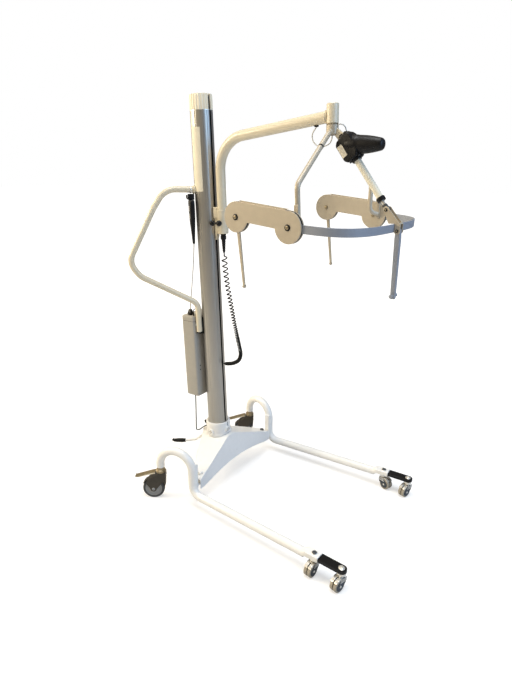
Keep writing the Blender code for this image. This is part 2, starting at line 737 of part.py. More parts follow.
def build_rear_arms():
    lean = math.radians(5.2)
    for name, s in SIDES:
        arm = spindle_disc(f"rear_arm_{name}", REAR_BOLT, s, SILVER)
        x, z = REAR_BOLT
        down = Vector((math.sin(lean), 0, -math.cos(lean)))
        side = Vector((math.cos(lean), 0, math.sin(lean)))
        start = Vector((x, s * DISC_MID, z)) + down * (DISC_R - 0.006)
        end = Vector((x, s * DISC_MID, z)) + down * ARM_REACH
        rings = []
        for point, wide in ((start, 0.0065), (start.lerp(end, 0.6), 0.0052), (end, 0.0045)):
            rings.append(
                [
                    point + side * (a * wide) + Vector((0, b * 0.003, 0))
                    for a, b in ((1, 1), (-1, 1), (-1, -1), (1, -1))
                ]
            )
        combine(arm, "UNION", loft(rings), frame=SWIVEL)
        place = point_z_along((0, 1, 0), end - down * 0.006)
        stud = [
            (0.0048, -0.0085), (0.0062, -0.0075), (0.0035, -0.0045), (0.0035, 0.0045), (0.0062, 0.0075),
            (0.0048, 0.0085),
        ]
        combine(arm, "UNION", moved(lathe(stud, 8), place), frame=SWIVEL)


def bar_path():
    """The U-bar's centre line: a squared half ellipse between the two front bolts."""
    points = []
    count = 24
    for i in range(count + 1):
        t = math.pi * (i / count - 0.5)
        across = DISC_MID * math.copysign(abs(math.sin(t)) ** (2 / BAR_SQUARE), math.sin(t))
        reach = BAR_REACH * abs(math.cos(t)) ** (2 / BAR_SQUARE)
        points.append(
            Vector(
                (
                    FRONT_BOLT[0] + reach * math.cos(BAR_DROP), across,
                    FRONT_BOLT[1] - reach * math.sin(BAR_DROP),
                )
            )
        )
    clear = DISC_R + 0.0006
    inside = [p for p in points if math.hypot(p.x - FRONT_BOLT[0], p.z - FRONT_BOLT[1]) > clear + 0.006]
    first, last = inside[0].copy(), inside[-1].copy()
    for end in (first, last):
        end.x = FRONT_BOLT[0] + clear * math.cos(BAR_DROP)
        end.z = FRONT_BOLT[1] - clear * math.sin(BAR_DROP)
        end.y = math.copysign(DISC_MID, end.y)
    return [first] + inside + [last]


def build_bar():
    pivot = (FRONT_BOLT[0], 0, FRONT_BOLT[1])
    up = (math.sin(BAR_DROP), 0, math.cos(BAR_DROP))
    bar = add("cradle_bar", flat_bar(bar_path(), BAR_H, BAR_T, up), SILVER, SWIVEL, pivot=pivot)
    cutter = prism(circle(DISC_R + GAP, 20, FRONT_BOLT), -0.35, 0.35, "Y")
    combine(bar, "DIFFERENCE", cutter, frame=SWIVEL)
    for name, s in SIDES:
        spindle_disc(f"front_disc_{name}", FRONT_BOLT, s, BLACK)
    tip_x = FRONT_BOLT[0] + BAR_REACH * math.cos(BAR_DROP)
    tip_z = FRONT_BOLT[1] - BAR_REACH * math.sin(BAR_DROP)
    over, front = tip_z + BAR_H / 2 + 0.0008, tip_x + BAR_T / 2 + 0.0016
    x, z = CLEVIS_PIN
    cheek = [
        (x - 0.010, z + 0.002),
        (x - 0.005, z + 0.010),
        (x + 0.004, z + 0.0115),
        (x + 0.011, z + 0.006),
        (front + 0.022, over - 0.004),
        (front + 0.024, ARM_PIN[1] - 0.002),
        (front + 0.016, ARM_PIN[1] - 0.011),
        (front + 0.004, ARM_PIN[1] - 0.009),
        (front, ARM_PIN[1] - 0.002),
        (front, over),
        (front - 0.022, over),
    ]
    clevis = add("clevis_bracket", prism(cheek, -0.0125, 0.0125, "Y"), SILVER, SWIVEL, pivot=(x, 0, z))
    gap_above = box((x - 0.03, -0.0082, over + 0.0035), (x + 0.05, 0.0082, z + 0.04))
    gap_below = box((front - 0.001, -0.0082, ARM_PIN[1] - 0.03), (front + 0.04, 0.0082, ARM_PIN[1] + 0.0125))
    combine(clevis, "DIFFERENCE", gap_above, gap_below, frame=SWIVEL)
    for px, pz in (CLEVIS_PIN, ARM_PIN):
        for s in (-1, 1):
            head = prism(circle(0.0055, 8, (px, pz)), *between(s, 0.0120, 0.0155), "Y")
            combine(clevis, "UNION", head, frame=SWIVEL)


def build_front_arm():
    x, z = ARM_PIN
    lean = math.radians(-1.6)
    down = Vector((math.sin(lean), 0, -math.cos(lean)))
    side = Vector((math.cos(lean), 0, math.sin(lean)))
    start = Vector((x, 0, z)) - down * 0.005
    end = Vector((x, 0, z)) + down * 0.226
    rings = []
    for point, wide, deep in (
        (start, 0.0075, 0.0075), (start + down * 0.03, 0.0095, 0.0075), (end, 0.0085, 0.0072),
    ):
        corners = ((1, 1), (-1, 1), (-1, -1), (1, -1))
        rings.append([point + side * (a * wide) + Vector((0, b * deep, 0)) for a, b in corners])
    arm = add("front_arm", loft(rings), SILVER, SWIVEL, pivot=(x, 0, z))
    place = point_z_along((0, 1, 0), end - down * 0.010)
    stud = [
        (0.0055, -0.021), (0.0068, -0.0195), (0.0040, -0.016), (0.0040, 0.016), (0.0068, 0.0195),
        (0.0055, 0.021),
    ]
    combine(arm, "UNION", moved(lathe(stud, 8), place), frame=SWIVEL)


def actuator_frame():
    """Z runs from the lug pin down to the clevis pin; X is the upper, outer side of the actuator."""
    x, z = LUG_PIN
    along = Vector((CLEVIS_PIN[0] - x, 0, CLEVIS_PIN[1] - z)).normalized()
    across = Vector((0, -1, 0))
    turn = Matrix((across.cross(along), across, along)).transposed().to_4x4()
    return Matrix.Translation((x, 0, z)) @ turn


def build_actuator():
    place = actuator_frame()
    length = math.hypot(CLEVIS_PIN[0] - LUG_PIN[0], CLEVIS_PIN[1] - LUG_PIN[1])
    outline = [(-0.020, 0.006), (-0.029, 0.016), (-0.029, 0.074), (-0.020, 0.086)]
    outline += [(0.016, 0.086), (0.029, 0.072), (0.033, 0.042), (0.033, 0.012), (0.026, -0.004)]
    head = add(
        "actuator_housing", moved(prism(outline, -0.030, 0.030, "Y"), place), BLACK, SWIVEL,
        pivot=(LUG_PIN[0], 0, LUG_PIN[1]),
    )
    ears = [(-0.009, 0.030), (-0.011, 0.0), (-0.006, -0.010), (0.006, -0.010), (0.011, 0.0), (0.016, 0.030)]
    for s in (-1, 1):
        combine(head, "UNION", moved(prism(ears, *between(s, 0.0058, 0.0128), "Y"), place), frame=SWIVEL)
    slot = box((-0.040, -0.0056, -0.030), (0.0125, 0.0056, 0.0128))
    combine(head, "DIFFERENCE", moved(slot, place), frame=SWIVEL)
    motor = lathe(
        [(0.030, 0.0), (0.031, 0.030), (0.028, 0.062), (0.0225, 0.098), (0.0190, 0.114), (0.0120, 0.120)],
        16,
    )
    combine(
        head, "UNION", moved(motor, point_z_along((0.9985, 0, -0.043), (0.0700, 0, 1.4400))), frame=SWIVEL,
    )
    sleeve = [(0.0116, 0.086 + GAP), (0.0116, 0.240), (0.0146, 0.2405), (0.0146, 0.2530)]
    sleeve += [(0.0064, 0.2530), (0.0064, 0.125), (0.0040, 0.124)]
    add("actuator_tube", moved(lathe(sleeve, 16), place), BRIGHT, SWIVEL, pivot=(LUG_PIN[0], 0, LUG_PIN[1]))
    rod = add(
        "actuator_rod", moved(lathe([(0.0058, 0.160), (0.0058, length - 0.012)], 12), place), BRIGHT, SWIVEL,
        pivot=(CLEVIS_PIN[0], 0, CLEVIS_PIN[1]),
    )
    eye = [
        (-0.0068, length - 0.020), (0.0068, length - 0.020), (0.0080, length), (0.0040, length + 0.0070),
        (-0.0040, length + 0.0070), (-0.0080, length),
    ]
    combine(rod, "UNION", moved(prism(eye, -0.0065, 0.0065, "Y"), place), frame=SWIVEL)


# ---------------------------------------------------------------- cords


def smooth(points, count):
    """Evenly spaced points on a Catmull-Rom curve through the given points."""
    points = [Vector(point) for point in points]
    padded = [points[0] * 2 - points[1]] + points + [points[-1] * 2 - points[-2]]
    fine = []
    for a, b, c, d in zip(padded, padded[1:], padded[2:], padded[3:]):
        for i in range(20):
            t = i / 20
            fine.append(
                (
                    b * 2 + (c - a) * t + (a * 2 - b * 5 + c * 4 - d) * t**2 + (b * 3 - a - c * 3 + d) * t**3
                ) / 2
            )
    fine.append(points[-1])
    lengths = [0.0]
    for before, after in zip(fine, fine[1:]):
        lengths.append(lengths[-1] + (after - before).length)
    even = []
    place = 0
    for i in range(count):
        goal = lengths[-1] * i / (count - 1)
        while place < len(fine) - 2 and lengths[place + 1] < goal:
            place += 1
        part = (goal - lengths[place]) / (lengths[place + 1] - lengths[place])
        even.append(fine[place].lerp(fine[place + 1], part))
    return even


def cord(name, points, diameter, count, spec, frame, detail):
    data = bpy.data.curves.new(name, "CURVE")
    data.dimensions = "3D"
    data.bevel_depth = diameter / 2
    data.bevel_resolution = detail
    data.use_fill_caps = True
    spline = data.splines.new("POLY")
    path = smooth(points, count)
    spline.points.add(len(path) - 1)
    for vertex, point in zip(spline.points, path):
        vertex.co = (*(SHIFT + frame @ point), 1.0)
    data.materials.append(material(spec))
    obj = bpy.data.objects.new(name, data)
    bpy.context.scene.collection.objects.link(obj)


def build_cords():
    coil = [
        (BOOM_X, 0, 1.052 - GAP),
        (BOOM_X + 0.001, 0, 1.00),
        (0.092, 0, 0.92),
        (0.108, 0, 0.83),
        (0.124, 0, 0.741),
        (0.142, 0, 0.660),
        (0.150, 0, 0.617),
        (0.139, 0, 0.586),
        (0.110, 0, 0.566),
        (0.080, 0, 0.557),
        (MAST_R + 0.0012, 0, 0.552),
    ]
    cord("coil_cord", coil, 0.018, 15, CORD, UPRIGHT, 2)
    near = handle_frame(-1)
    low = UPRIGHT.inverted() @ near @ Vector((0.0625, 0, 1.088 - GAP))
    handset = [
        low, low + Vector((-0.002, 0, -0.08)), (-0.068, -0.050, 0.93), (-0.086, -0.047, 0.84),
        (-0.088, -0.046, 0.798 + GAP),
    ]
    cord("handset_cord", handset, 0.005, 22, CORD_GREY, UPRIGHT, 2)
    supply = [
        (-0.090, -0.054, 0.3878),
        (-0.0905, -0.054, 0.31),
        (-0.092, -0.054, 0.230),
        (-0.0935, -0.051, 0.200),
        (-0.086, -0.043, 0.196),
        (-0.074, -0.034, 0.206),
        (-0.0655, -0.0275, 0.214),
        (-0.0535, -0.0215, 0.2225),
    ]
    cord("supply_cord", supply, 0.006, 24, CORD, FLOOR, 2)
    boom = [
        (-0.061, 0, 1.5040 - GAP),
        (-0.074, -0.003, 1.484),
        (-0.071, -0.007, 1.462),
        (-0.052, -0.010, 1.444),
        (-0.028, -0.010, 1.440),
        (-0.010, -0.006, 1.446),
        (-0.002, -0.002, 1.458),
        (0.0, 0, HUB_LOW - GAP),
    ]
    inside = UPRIGHT @ Matrix.Translation((HUB_X, 0.0, 0.0))
    cord("boom_cord", boom, 0.004, 24, CORD_GREY, inside, 2)
    drive = [
        (0.0212 + GAP, 0, 1.5050),
        (0.0300, 0.0005, 1.5065),
        (0.0380, 0.0050, 1.5040),
        (0.0425, 0.0120, 1.4970),
        (0.0430, 0.0175, 1.4880),
        (0.0470, 0.0200, 1.4815),
        (0.0544, 0.0210, 1.4749),
    ]
    cord("drive_cord", drive, 0.004, 20, CORD_GREY, SWIVEL, 2)


def main():
    clear_scene()
    build_base()
    build_pedals()
    build_legs()
    build_rear_castors()
    build_twin_castors()
    build_mast()
    build_handles()
    build_box()
    build_handset()
    build_boom()
    build_hub()
    build_yoke()
    build_side_plates()
    build_rear_arms()
    build_bar()
    build_front_arm()
    build_actuator()
    build_cords()


main()
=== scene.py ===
"""The looks of a mobile patient lift: pieces, materials, floor, light and camera round its CAD frame."""

import json
import math

import bmesh
import bpy
from mathutils import Matrix, Vector

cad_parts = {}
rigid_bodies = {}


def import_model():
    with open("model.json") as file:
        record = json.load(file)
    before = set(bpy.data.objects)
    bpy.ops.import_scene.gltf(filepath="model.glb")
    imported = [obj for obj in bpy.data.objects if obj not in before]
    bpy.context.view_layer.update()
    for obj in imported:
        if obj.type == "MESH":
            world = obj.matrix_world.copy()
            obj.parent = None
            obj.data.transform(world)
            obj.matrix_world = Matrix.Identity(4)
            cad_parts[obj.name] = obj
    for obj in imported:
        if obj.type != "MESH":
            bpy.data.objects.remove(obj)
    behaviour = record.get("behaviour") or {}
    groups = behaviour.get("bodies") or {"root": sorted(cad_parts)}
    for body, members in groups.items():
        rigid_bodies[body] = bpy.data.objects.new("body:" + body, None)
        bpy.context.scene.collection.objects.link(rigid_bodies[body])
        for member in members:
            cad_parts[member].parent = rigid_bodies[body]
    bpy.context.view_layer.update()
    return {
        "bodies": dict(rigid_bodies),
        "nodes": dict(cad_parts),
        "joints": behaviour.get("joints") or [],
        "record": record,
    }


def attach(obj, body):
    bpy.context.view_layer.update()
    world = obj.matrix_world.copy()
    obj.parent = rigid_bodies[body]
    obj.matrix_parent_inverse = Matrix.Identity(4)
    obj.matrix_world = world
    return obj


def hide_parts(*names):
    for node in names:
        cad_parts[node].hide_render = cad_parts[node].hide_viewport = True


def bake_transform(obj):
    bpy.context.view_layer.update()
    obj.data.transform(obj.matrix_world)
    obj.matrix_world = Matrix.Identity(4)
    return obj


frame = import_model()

# ---------------------------------------------------------------- the lift's own dimensions, in metres

SHIFT = Vector((-0.29934, 0.0244, 0.0))
GAP = 0.0003
SIDES = (("near", -1), ("far", 1))
ROOT = "mast_and_base"

LEAN = math.radians(2.47)
FOOT = Vector((0.0, 0.0, 0.235))
MAST_R, MAST_WALL = 0.045, 0.005
MAST_LOW, MAST_TOP, CAP_TOP = 0.13, 1.602, 1.66
SLOT_HALF = 0.005
HANDLE_TURN = math.radians(53)
HANDLE_R = 0.0125
HANDLE_BENDS = (0.085, 0.085, 0.062, 0.09, 0.048)
HANDLE_Z = 1.306
KNOB_X, KNOB_Z = 0.074, 1.174
BOOM_X, BOOM_R = 0.083, 0.0195
SOCKET_R, SOCKET_LOW, SOCKET_TOP = 0.0222, 1.13, 1.226
HUB_X, HUB_LOW = 0.576, 1.4735
TEE_R, TEE_LOW, TEE_TOP = 0.0205, 1.511, 1.573
REAR_BOLT = (-0.19, 1.2213)
FRONT_BOLT = (0.024, 1.1941)
PLATE_OUT, PLATE_IN = 0.292, 0.274
DISC_MID, DISC_R, DISC_HALF = 0.283, 0.051, 0.0037
BAR_REACH, BAR_DROP, BAR_SQUARE = 0.221, math.radians(4.5), 3.42
BAR_H, BAR_T = 0.027, 0.004
LUG_PIN = (0.0437, 1.4644)
CLEVIS_PIN = (0.2139, 1.2339)
ARM_PIN = (0.256, 1.1681)
ARM_REACH = 0.24
PIVOT = (0.09, 0.235)
LEG_R, ARCH_R = 0.018, 0.0782
LEG_REAR, LEG_POST = (-0.056, 0.33), (0.096, 0.293)
RUN_END = (0.668, 0.3228, 0.0655)
MID_CASTOR, FRONT_CASTOR = (0.711, 0.325), (0.822, 0.3308)
WHEEL_R, WHEEL_TRAIL = 0.048, 0.034
TWIN_R, TWIN_TRAIL = 0.025, 0.019
TWINS = (
    ("mid_castor_near", MID_CASTOR, -1, -97, 0.067),
    ("front_castor_near", FRONT_CASTOR, -1, -104, 0.071),
    ("mid_castor_far", MID_CASTOR, 1, -20, 0.067),
    ("front_castor_far", FRONT_CASTOR, 1, -107, 0.071),
)


def shift(x, y, z):
    return Matrix.Translation((x, y, z))


def spun(degrees, axis="Z"):
    return Matrix.Rotation(math.radians(degrees), 4, axis)


FLOOR = Matrix.Identity(4)
UPRIGHT = Matrix.Translation(FOOT) @ Matrix.Rotation(-LEAN, 4, "Y") @ Matrix.Translation(-FOOT)
UNDER_BOOM = UPRIGHT @ shift(HUB_X, 0.0, 0.0)
SWIVEL = UNDER_BOOM @ spun(-4.1)


# ---------------------------------------------------------------- materials


def feed(tree, node, **inputs):
    """Sets a node's inputs: each is a value, or a socket to link from. An underscore stands for a space."""
    for name, value in inputs.items():
        socket = node.inputs[name.replace("_", " ")]
        if isinstance(value, bpy.types.NodeSocket):
            tree.links.new(value, socket)
        else:
            socket.default_value = value
    return node


def add_node(tree, kind, **inputs):
    return feed(tree, tree.nodes.new(f"ShaderNode{kind}"), **inputs)


def add_ramp(tree, factor, first, last):
    """A colour ramp between two (position, colour) ends."""
    shades = tree.nodes.new("ShaderNodeValToRGB")
    for element, (position, colour) in zip(shades.color_ramp.elements, (first, last)):
        element.position = position
        element.color = (*colour, 1.0)
    tree.links.new(factor, shades.inputs["Fac"])
    return shades.outputs["Color"]


def look(
    name, slot, colour, roughness, metallic=0.0, coat=0.0, mottle=0.04, scale=60.0, bump=0.02,
    grain=2500.0, stretch=(1, 1, 1),
):
    """A Principled surface with slightly uneven colour and gloss and a fine grain."""
    made = bpy.data.materials.new(f"{name}_finish")
    made.use_nodes = True
    made["slot"] = slot
    tree = made.node_tree
    place = add_node(tree, "TexCoord")
    mapping = add_node(tree, "Mapping", Scale=stretch, Vector=place.outputs["Object"])
    where = mapping.outputs["Vector"]
    cloud = add_node(tree, "TexNoise", Scale=scale, Detail=4.0, Vector=where).outputs["Fac"]
    dark = [c * (1 - mottle) for c in colour]
    light = [min(c * (1 + mottle), 1.0) for c in colour]
    shade = add_ramp(tree, cloud, (0.3, dark), (0.7, light))
    low, high = max(roughness - 0.06, 0.03), min(roughness + 0.06, 1.0)
    gloss = add_node(tree, "MapRange", To_Min=low, To_Max=high, Value=cloud)
    fine = add_node(tree, "TexNoise", Scale=grain, Vector=where)
    relief = add_node(tree, "Bump", Strength=bump, Distance=0.0004, Height=fine.outputs["Fac"])
    feed(
        tree, tree.nodes["Principled BSDF"], Metallic=metallic, Coat_Weight=coat, Coat_Roughness=0.12,
        Specular_IOR_Level=0.3 if max(colour) < 0.1 else 0.5, Base_Color=shade,
        Roughness=gloss.outputs["Result"], Normal=relief.outputs["Normal"],
    )
    return made


COAT = {"coat": 0.25, "mottle": 0.02, "bump": 0.05, "grain": 900}
GREY_PAINT = {"metallic": 0.15, "coat": 0.1, "mottle": 0.03, "bump": 0.05, "grain": 1200}
CREAM = look("cream_coat", "powder_white", (0.78, 0.7, 0.53), 0.34, **COAT)
WHITE = look("white_coat", "powder_white", (0.9, 0.9, 0.88), 0.32, **COAT)
BASE = look(
    "base_white", "base_white", (0.86, 0.86, 0.85), 0.3, coat=0.3, mottle=0.015, bump=0.04, grain=900,
)
COLUMN = look(
    "column_metal", "column_metal", (0.46, 0.44, 0.4), 0.34, metallic=0.8, mottle=0.06, scale=90, bump=0.06,
    stretch=(4, 4, 0.05),
)
CRADLE = look("cradle_grey", "cradle_grey", (0.53, 0.465, 0.36), 0.42, **GREY_PAINT)
# Painted shade: a darker, bluer copy of the cradle grey paint, used for the U-bar and the front arm.
PAINTED_SHADE_GREY = look("cradle_painted_shade", "cradle_grey", (0.32, 0.35, 0.41), 0.42, **GREY_PAINT)
BLACK = look(
    "black_plastic", "black_plastic", (0.004, 0.004, 0.005), 0.42, mottle=0.2, bump=0.15, grain=1800,
)
BLACK_PAINT = look("black_metal", "black_metal", (0.005, 0.005, 0.006), 0.35, mottle=0.1, bump=0.05)
CAP = look("cap_plastic", "cap_plastic", (0.9, 0.82, 0.64), 0.45, mottle=0.02, bump=0.05)
BOX = look("box_plastic", "box_plastic", (0.4, 0.385, 0.35), 0.5, mottle=0.03, bump=0.12, grain=1600)
KEY = look("key_plastic", "key_plastic", (0.45, 0.46, 0.47), 0.5, mottle=0.03)
BRIGHT = look("bright_metal", "bright_metal", (0.84, 0.82, 0.77), 0.28, metallic=0.7, mottle=0.04, bump=0.0)
RUBBER = look("rubber", "rubber", (0.008, 0.008, 0.008), 0.75, mottle=0.15, bump=0.2, grain=1400)
TYRE = look("grey_tyre", "grey_tyre", (0.075, 0.08, 0.085), 0.65, mottle=0.08, bump=0.1)
DISC = look("wheel_disc", "grey_tyre", (0.3, 0.31, 0.32), 0.45, mottle=0.05, bump=0.06)
FORK = look("castor_housing", "black_plastic", (0.055, 0.048, 0.038), 0.45, mottle=0.1, bump=0.12)
TREAD = look("beige_tread", "beige_tread", (0.37, 0.335, 0.27), 0.6, mottle=0.06, bump=0.1)
BRASSY = look("brake_metal", "brake_metal", (0.34, 0.28, 0.18), 0.36, metallic=0.8, mottle=0.08, bump=0.05)
# Painted highlight: a light cream copy of the brake lever metal, used for the lever's edge ribs.
PAINTED_HIGHLIGHT_EDGE = look("brake_painted_highlight", "brake_metal", (0.8, 0.73, 0.56), 0.3, metallic=0.5, mottle=0.05, bump=0.03)
CORD = look("cord_black", "cord_black", (0.007, 0.007, 0.007), 0.5, mottle=0.1, bump=0.05)
CORD_GREY = look("cord_grey", "cord_grey", (0.66, 0.66, 0.64), 0.5, mottle=0.03, bump=0.03)
# Painted highlight: a copy of the bright metal lightened to near-white cream and made mostly diffuse, so the
# actuator sleeve looks lit.
PAINTED_HIGHLIGHT_TUBE = look("tube_painted_highlight", "bright_metal", (0.97, 0.92, 0.76), 0.32, metallic=0.15, mottle=0.02, bump=0.0)
HOOD = look("castor_wing", "black_plastic", (0.055, 0.065, 0.08), 0.5, mottle=0.1, bump=0.1)
LABEL = look("blank_label", "cap_plastic", (0.82, 0.76, 0.61), 0.4, mottle=0.03, bump=0.01)


# ---------------------------------------------------------------- shapes


def add_object(name, data):
    made = bpy.data.objects.new(name, data)
    bpy.context.scene.collection.objects.link(made)
    return made


def put(name, shape, surface, body=ROOT, frame=FLOOR, nodes=(), bevel=0.0, steps=2, sharp=38):
    """Makes one piece from a bmesh drawn in frame; it moves with a CAD body and stands for CAD nodes."""
    shape.transform(Matrix.Translation(SHIFT) @ frame)
    bmesh.ops.recalc_face_normals(shape, faces=shape.faces[:])
    shape.normal_update()
    for face in shape.faces:
        face.smooth = True
    if not bevel:
        for edge in shape.edges:
            edge.smooth = len(edge.link_faces) != 2 or edge.calc_face_angle(0.0) < math.radians(sharp)
    mesh = bpy.data.meshes.new(name)
    shape.to_mesh(mesh)
    shape.free()
    obj = add_object(name, mesh)
    mesh.materials.append(surface)
    if bevel:
        edge = obj.modifiers.new("edge", "BEVEL")
        edge.width = bevel
        edge.segments = steps
        edge.limit_method = "ANGLE"
        edge.angle_limit = math.radians(sharp)
        edge.harden_normals = True
    if body:
        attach(obj, body)
    if nodes:
        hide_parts(*nodes)
    return obj


def carrier(body, frame):
    """A put for one body and one frame; the CAD nodes that a piece stands for follow its surface."""

    def piece(name, shape, surface, *nodes, **edges):
        return put(name, shape, surface, body, frame, nodes, **edges)

    return piece


on_floor = carrier(ROOT, FLOOR)
on_mast = carrier(ROOT, UPRIGHT)
on_pedal = carrier("pedal", FLOOR)
on_boom = carrier("carriage_and_boom", UPRIGHT)
on_knob = carrier("clamp_handle", UPRIGHT)
on_cradle = carrier("cradle_frame", SWIVEL)
on_tilt = carrier("cradle_tilt", SWIVEL)
on_hook = carrier("front_arm", SWIVEL)


def loft(rings, closed=False):
    """Joins rings of equally many points; open ends get caps."""
    shape = bmesh.new()
    rows = [[shape.verts.new(point) for point in ring] for ring in rings]
    pairs = list(zip(rows, rows[1:]))
    if closed:
        pairs.append((rows[-1], rows[0]))
    count = len(rows[0])
    for low, high in pairs:
        for i in range(count):
            j = (i + 1) % count
            shape.faces.new((low[i], low[j], high[j], high[i]))
    if not closed:
        shape.faces.new(rows[0])
        shape.faces.new(rows[-1])
    return shape


def prism(outline, low, high, axis="Z"):
    """Extrudes a 2D outline from low to high. On axis Y the outline is (x, z); on X it is (y, z)."""
    place = {
        "X": lambda a, b, c: (c, a, b),
        "Y": lambda a, b, c: (a, c, b),
        "Z": lambda a, b, c: (a, b, c),
    }[axis]
    return loft([[place(a, b, level) for a, b in outline] for level in (low, high)])


def box(low, high):
    (x0, y0, z0), (x1, y1, z1) = low, high
    return prism([(x0, y0), (x1, y0), (x1, y1), (x0, y1)], z0, z1)


def circle(radius, count, centre=(0.0, 0.0), start=0.0):
    turns = [start + math.tau * i / count for i in range(count)]
    return [(centre[0] + radius * math.cos(a), centre[1] + radius * math.sin(a)) for a in turns]


def arc(radius, first, last, count, centre=(0.0, 0.0)):
    """Points on an arc from first to last degree."""
    turns = [math.radians(first + (last - first) * i / (count - 1)) for i in range(count)]
    return [(centre[0] + radius * math.cos(a), centre[1] + radius * math.sin(a)) for a in turns]


def rounded(half_x, half_y, radius, steps=5):
    """A rectangle with round corners, about the origin."""
    outline = []
    for sx, sy, turn in ((1, 1, 0), (-1, 1, 90), (-1, -1, 180), (1, -1, 270)):
        corner = (sx * (half_x - radius), sy * (half_y - radius))
        outline += arc(radius, turn, turn + 90, steps, corner)
    return outline


def lathe(profile, count=40):
    """Turns an open profile of (radius, height) about Z; the first and last points become flat caps."""
    return loft([[(r * x, r * y, z) for x, y in circle(1.0, count)] for r, z in profile])


def ring_lathe(profile, count=48):
    """Turns a closed profile of (radius, height) that never meets the axis."""
    return loft([[(r * x, r * y, z) for r, z in profile] for x, y in circle(1.0, count)], closed=True)


def along(direction, at=(0.0, 0.0, 0.0)):
    """A frame whose Z axis runs along direction from the point at."""
    return Matrix.Translation(at) @ Vector(direction).to_track_quat("Z", "Y").to_matrix().to_4x4()


def moved(shape, matrix):
    shape.transform(matrix)
    return shape


def aimed(shape, direction, at):
    """Turns a shape drawn along Z so that it runs along direction from the point at."""
    return moved(shape, along(direction, at))


def mirrored(profile):
    """A profile of (radius, height) with its image below height 0."""
    return profile + [(r, -z) for r, z in reversed(profile)]


def fillet(points, radius, steps):
    """Rounds the inner corners of a polyline with arcs; radius is one number, or one per corner."""
    points = [Vector(point) for point in points]
    radii = radius if isinstance(radius, (list, tuple)) else [radius] * (len(points) - 2)
    path = [points[0]]
    for before, corner, after, radius in zip(points, points[1:], points[2:], radii):
        back = (before - corner).normalized()
        ahead = (after - corner).normalized()
        half = back.angle(ahead) / 2
        reach = radius / math.tan(half)
        centre = corner + (back + ahead).normalized() * (radius / math.sin(half))
        first = (corner + back * reach - centre).normalized()
        last = (corner + ahead * reach - centre).normalized()
        for i in range(steps + 1):
            path.append(centre + first.slerp(last, i / steps) * radius)
    path.append(points[-1])
    return path


def tangents(path):
    found = []
    for i in range(len(path)):
        before = path[max(i - 1, 0)]
        after = path[min(i + 1, len(path) - 1)]
        found.append((after - before).normalized())
    return found


def tube(path, radius, count=28):
    """Sweeps a circle along a path; radius is one number, or one per point."""
    path = [Vector(point) for point in path]
    radii = radius if isinstance(radius, (list, tuple)) else [radius] * len(path)
    across = None
    rings = []
    for point, ahead, size in zip(path, tangents(path), radii):
        if across is None:
            across = ahead.orthogonal().normalized()
        across = (across - ahead * across.dot(ahead)).normalized()
        side = ahead.cross(across)
        rings.append([point + (across * x + side * y) * size for x, y in circle(1.0, count)])
    return loft(rings)


def flat_bar(path, height, thickness, up):
    """Sweeps an upright rectangle with eased corners along a flat path."""
    path = [Vector(point) for point in path]
    up = Vector(up)
    ease = thickness * 0.22
    a, b = height / 2, thickness / 2
    corners = [(a - ease, b), (-a + ease, b), (-a, b - ease), (-a, -b + ease)]
    corners += [(-x, -y) for x, y in corners]
    rings = []
    for point, ahead in zip(path, tangents(path)):
        side = up.cross(ahead).normalized()
        rings.append([point + up * x + side * y for x, y in corners])
    return loft(rings)


def between(s, low, high):
    return (s * low, s * high) if s > 0 else (s * high, s * low)


def slab(outline, s, low, high):
    """An (x, z) outline made thick from low to high on side s of the middle plane."""
    return prism(outline, *between(s, low, high), "Y")


def bolt_head(radius, height, count=28):
    """A domed head with a socket, standing on z = 0."""
    return lathe(
        [
            (radius, 0.0),
            (radius, height * 0.35),
            (radius * 0.9, height * 0.68),
            (radius * 0.68, height * 0.92),
            (radius * 0.46, height),
            (radius * 0.42, height * 0.97),
            (radius * 0.4, height * 0.45),
        ],
        count,
    )


def hex_head(radius, height):
    """A chamfered hexagon standing on z = 0."""
    return lathe([(radius, 0.0), (radius, height * 0.8), (radius * 0.86, height)], 6)


def bead(radius, thick, count=40):
    """A weld bead: a thin ring round Z."""
    return ring_lathe([(radius + thick * x, thick * y) for x, y in circle(1.0, 8)], count)


# ---------------------------------------------------------------- camera, light, floor


LENS_MM = 26.55
CAMERA_SPOT = Vector((1.3764, -1.6417, 1.3994)) + SHIFT
CAMERA_HEADING, CAMERA_DIP, CAMERA_ROLL = 0.6157, 0.3363, 0.0094
LAMPS = (
    ("key_left", (-3.2, -2.5, 2.6), (0, 0, 0.9), 1.6, 116, (1.0, 0.86, 0.64)),
    ("edge_left", (-3.4, -0.6, 1.8), (0, 0, 1.0), 1.8, 30, (1.0, 0.84, 0.6)),
    ("fill_right", (3.0, 0.2, 2.2), (0, 0, 0.9), 2.2, 48, (0.42, 0.66, 1.0)),
    ("top", (0.3, -0.5, 6.8), (0, 0, 0.5), 4.0, 270, (0.98, 0.99, 1.0)),
)


def build_camera():
    data = bpy.data.cameras.new("camera")
    data.lens = LENS_MM
    camera = add_object("camera", data)
    spot = Matrix.Translation(CAMERA_SPOT)
    turn = Matrix.Rotation(CAMERA_HEADING, 4, "Z") @ Matrix.Rotation(math.pi / 2 - CAMERA_DIP, 4, "X")
    camera.matrix_world = spot @ turn @ Matrix.Rotation(CAMERA_ROLL, 4, "Z")
    bpy.context.scene.camera = camera


def lamp(name, at, target, size, energy, colour):
    data = bpy.data.lights.new(name, "AREA")
    data.shape = "DISK"
    data.size = size
    data.energy = energy
    data.color = colour
    light = add_object(name, data)
    away = Vector(target) - Vector(at)
    light.matrix_world = Matrix.Translation(at) @ away.to_track_quat("-Z", "Y").to_matrix().to_4x4()


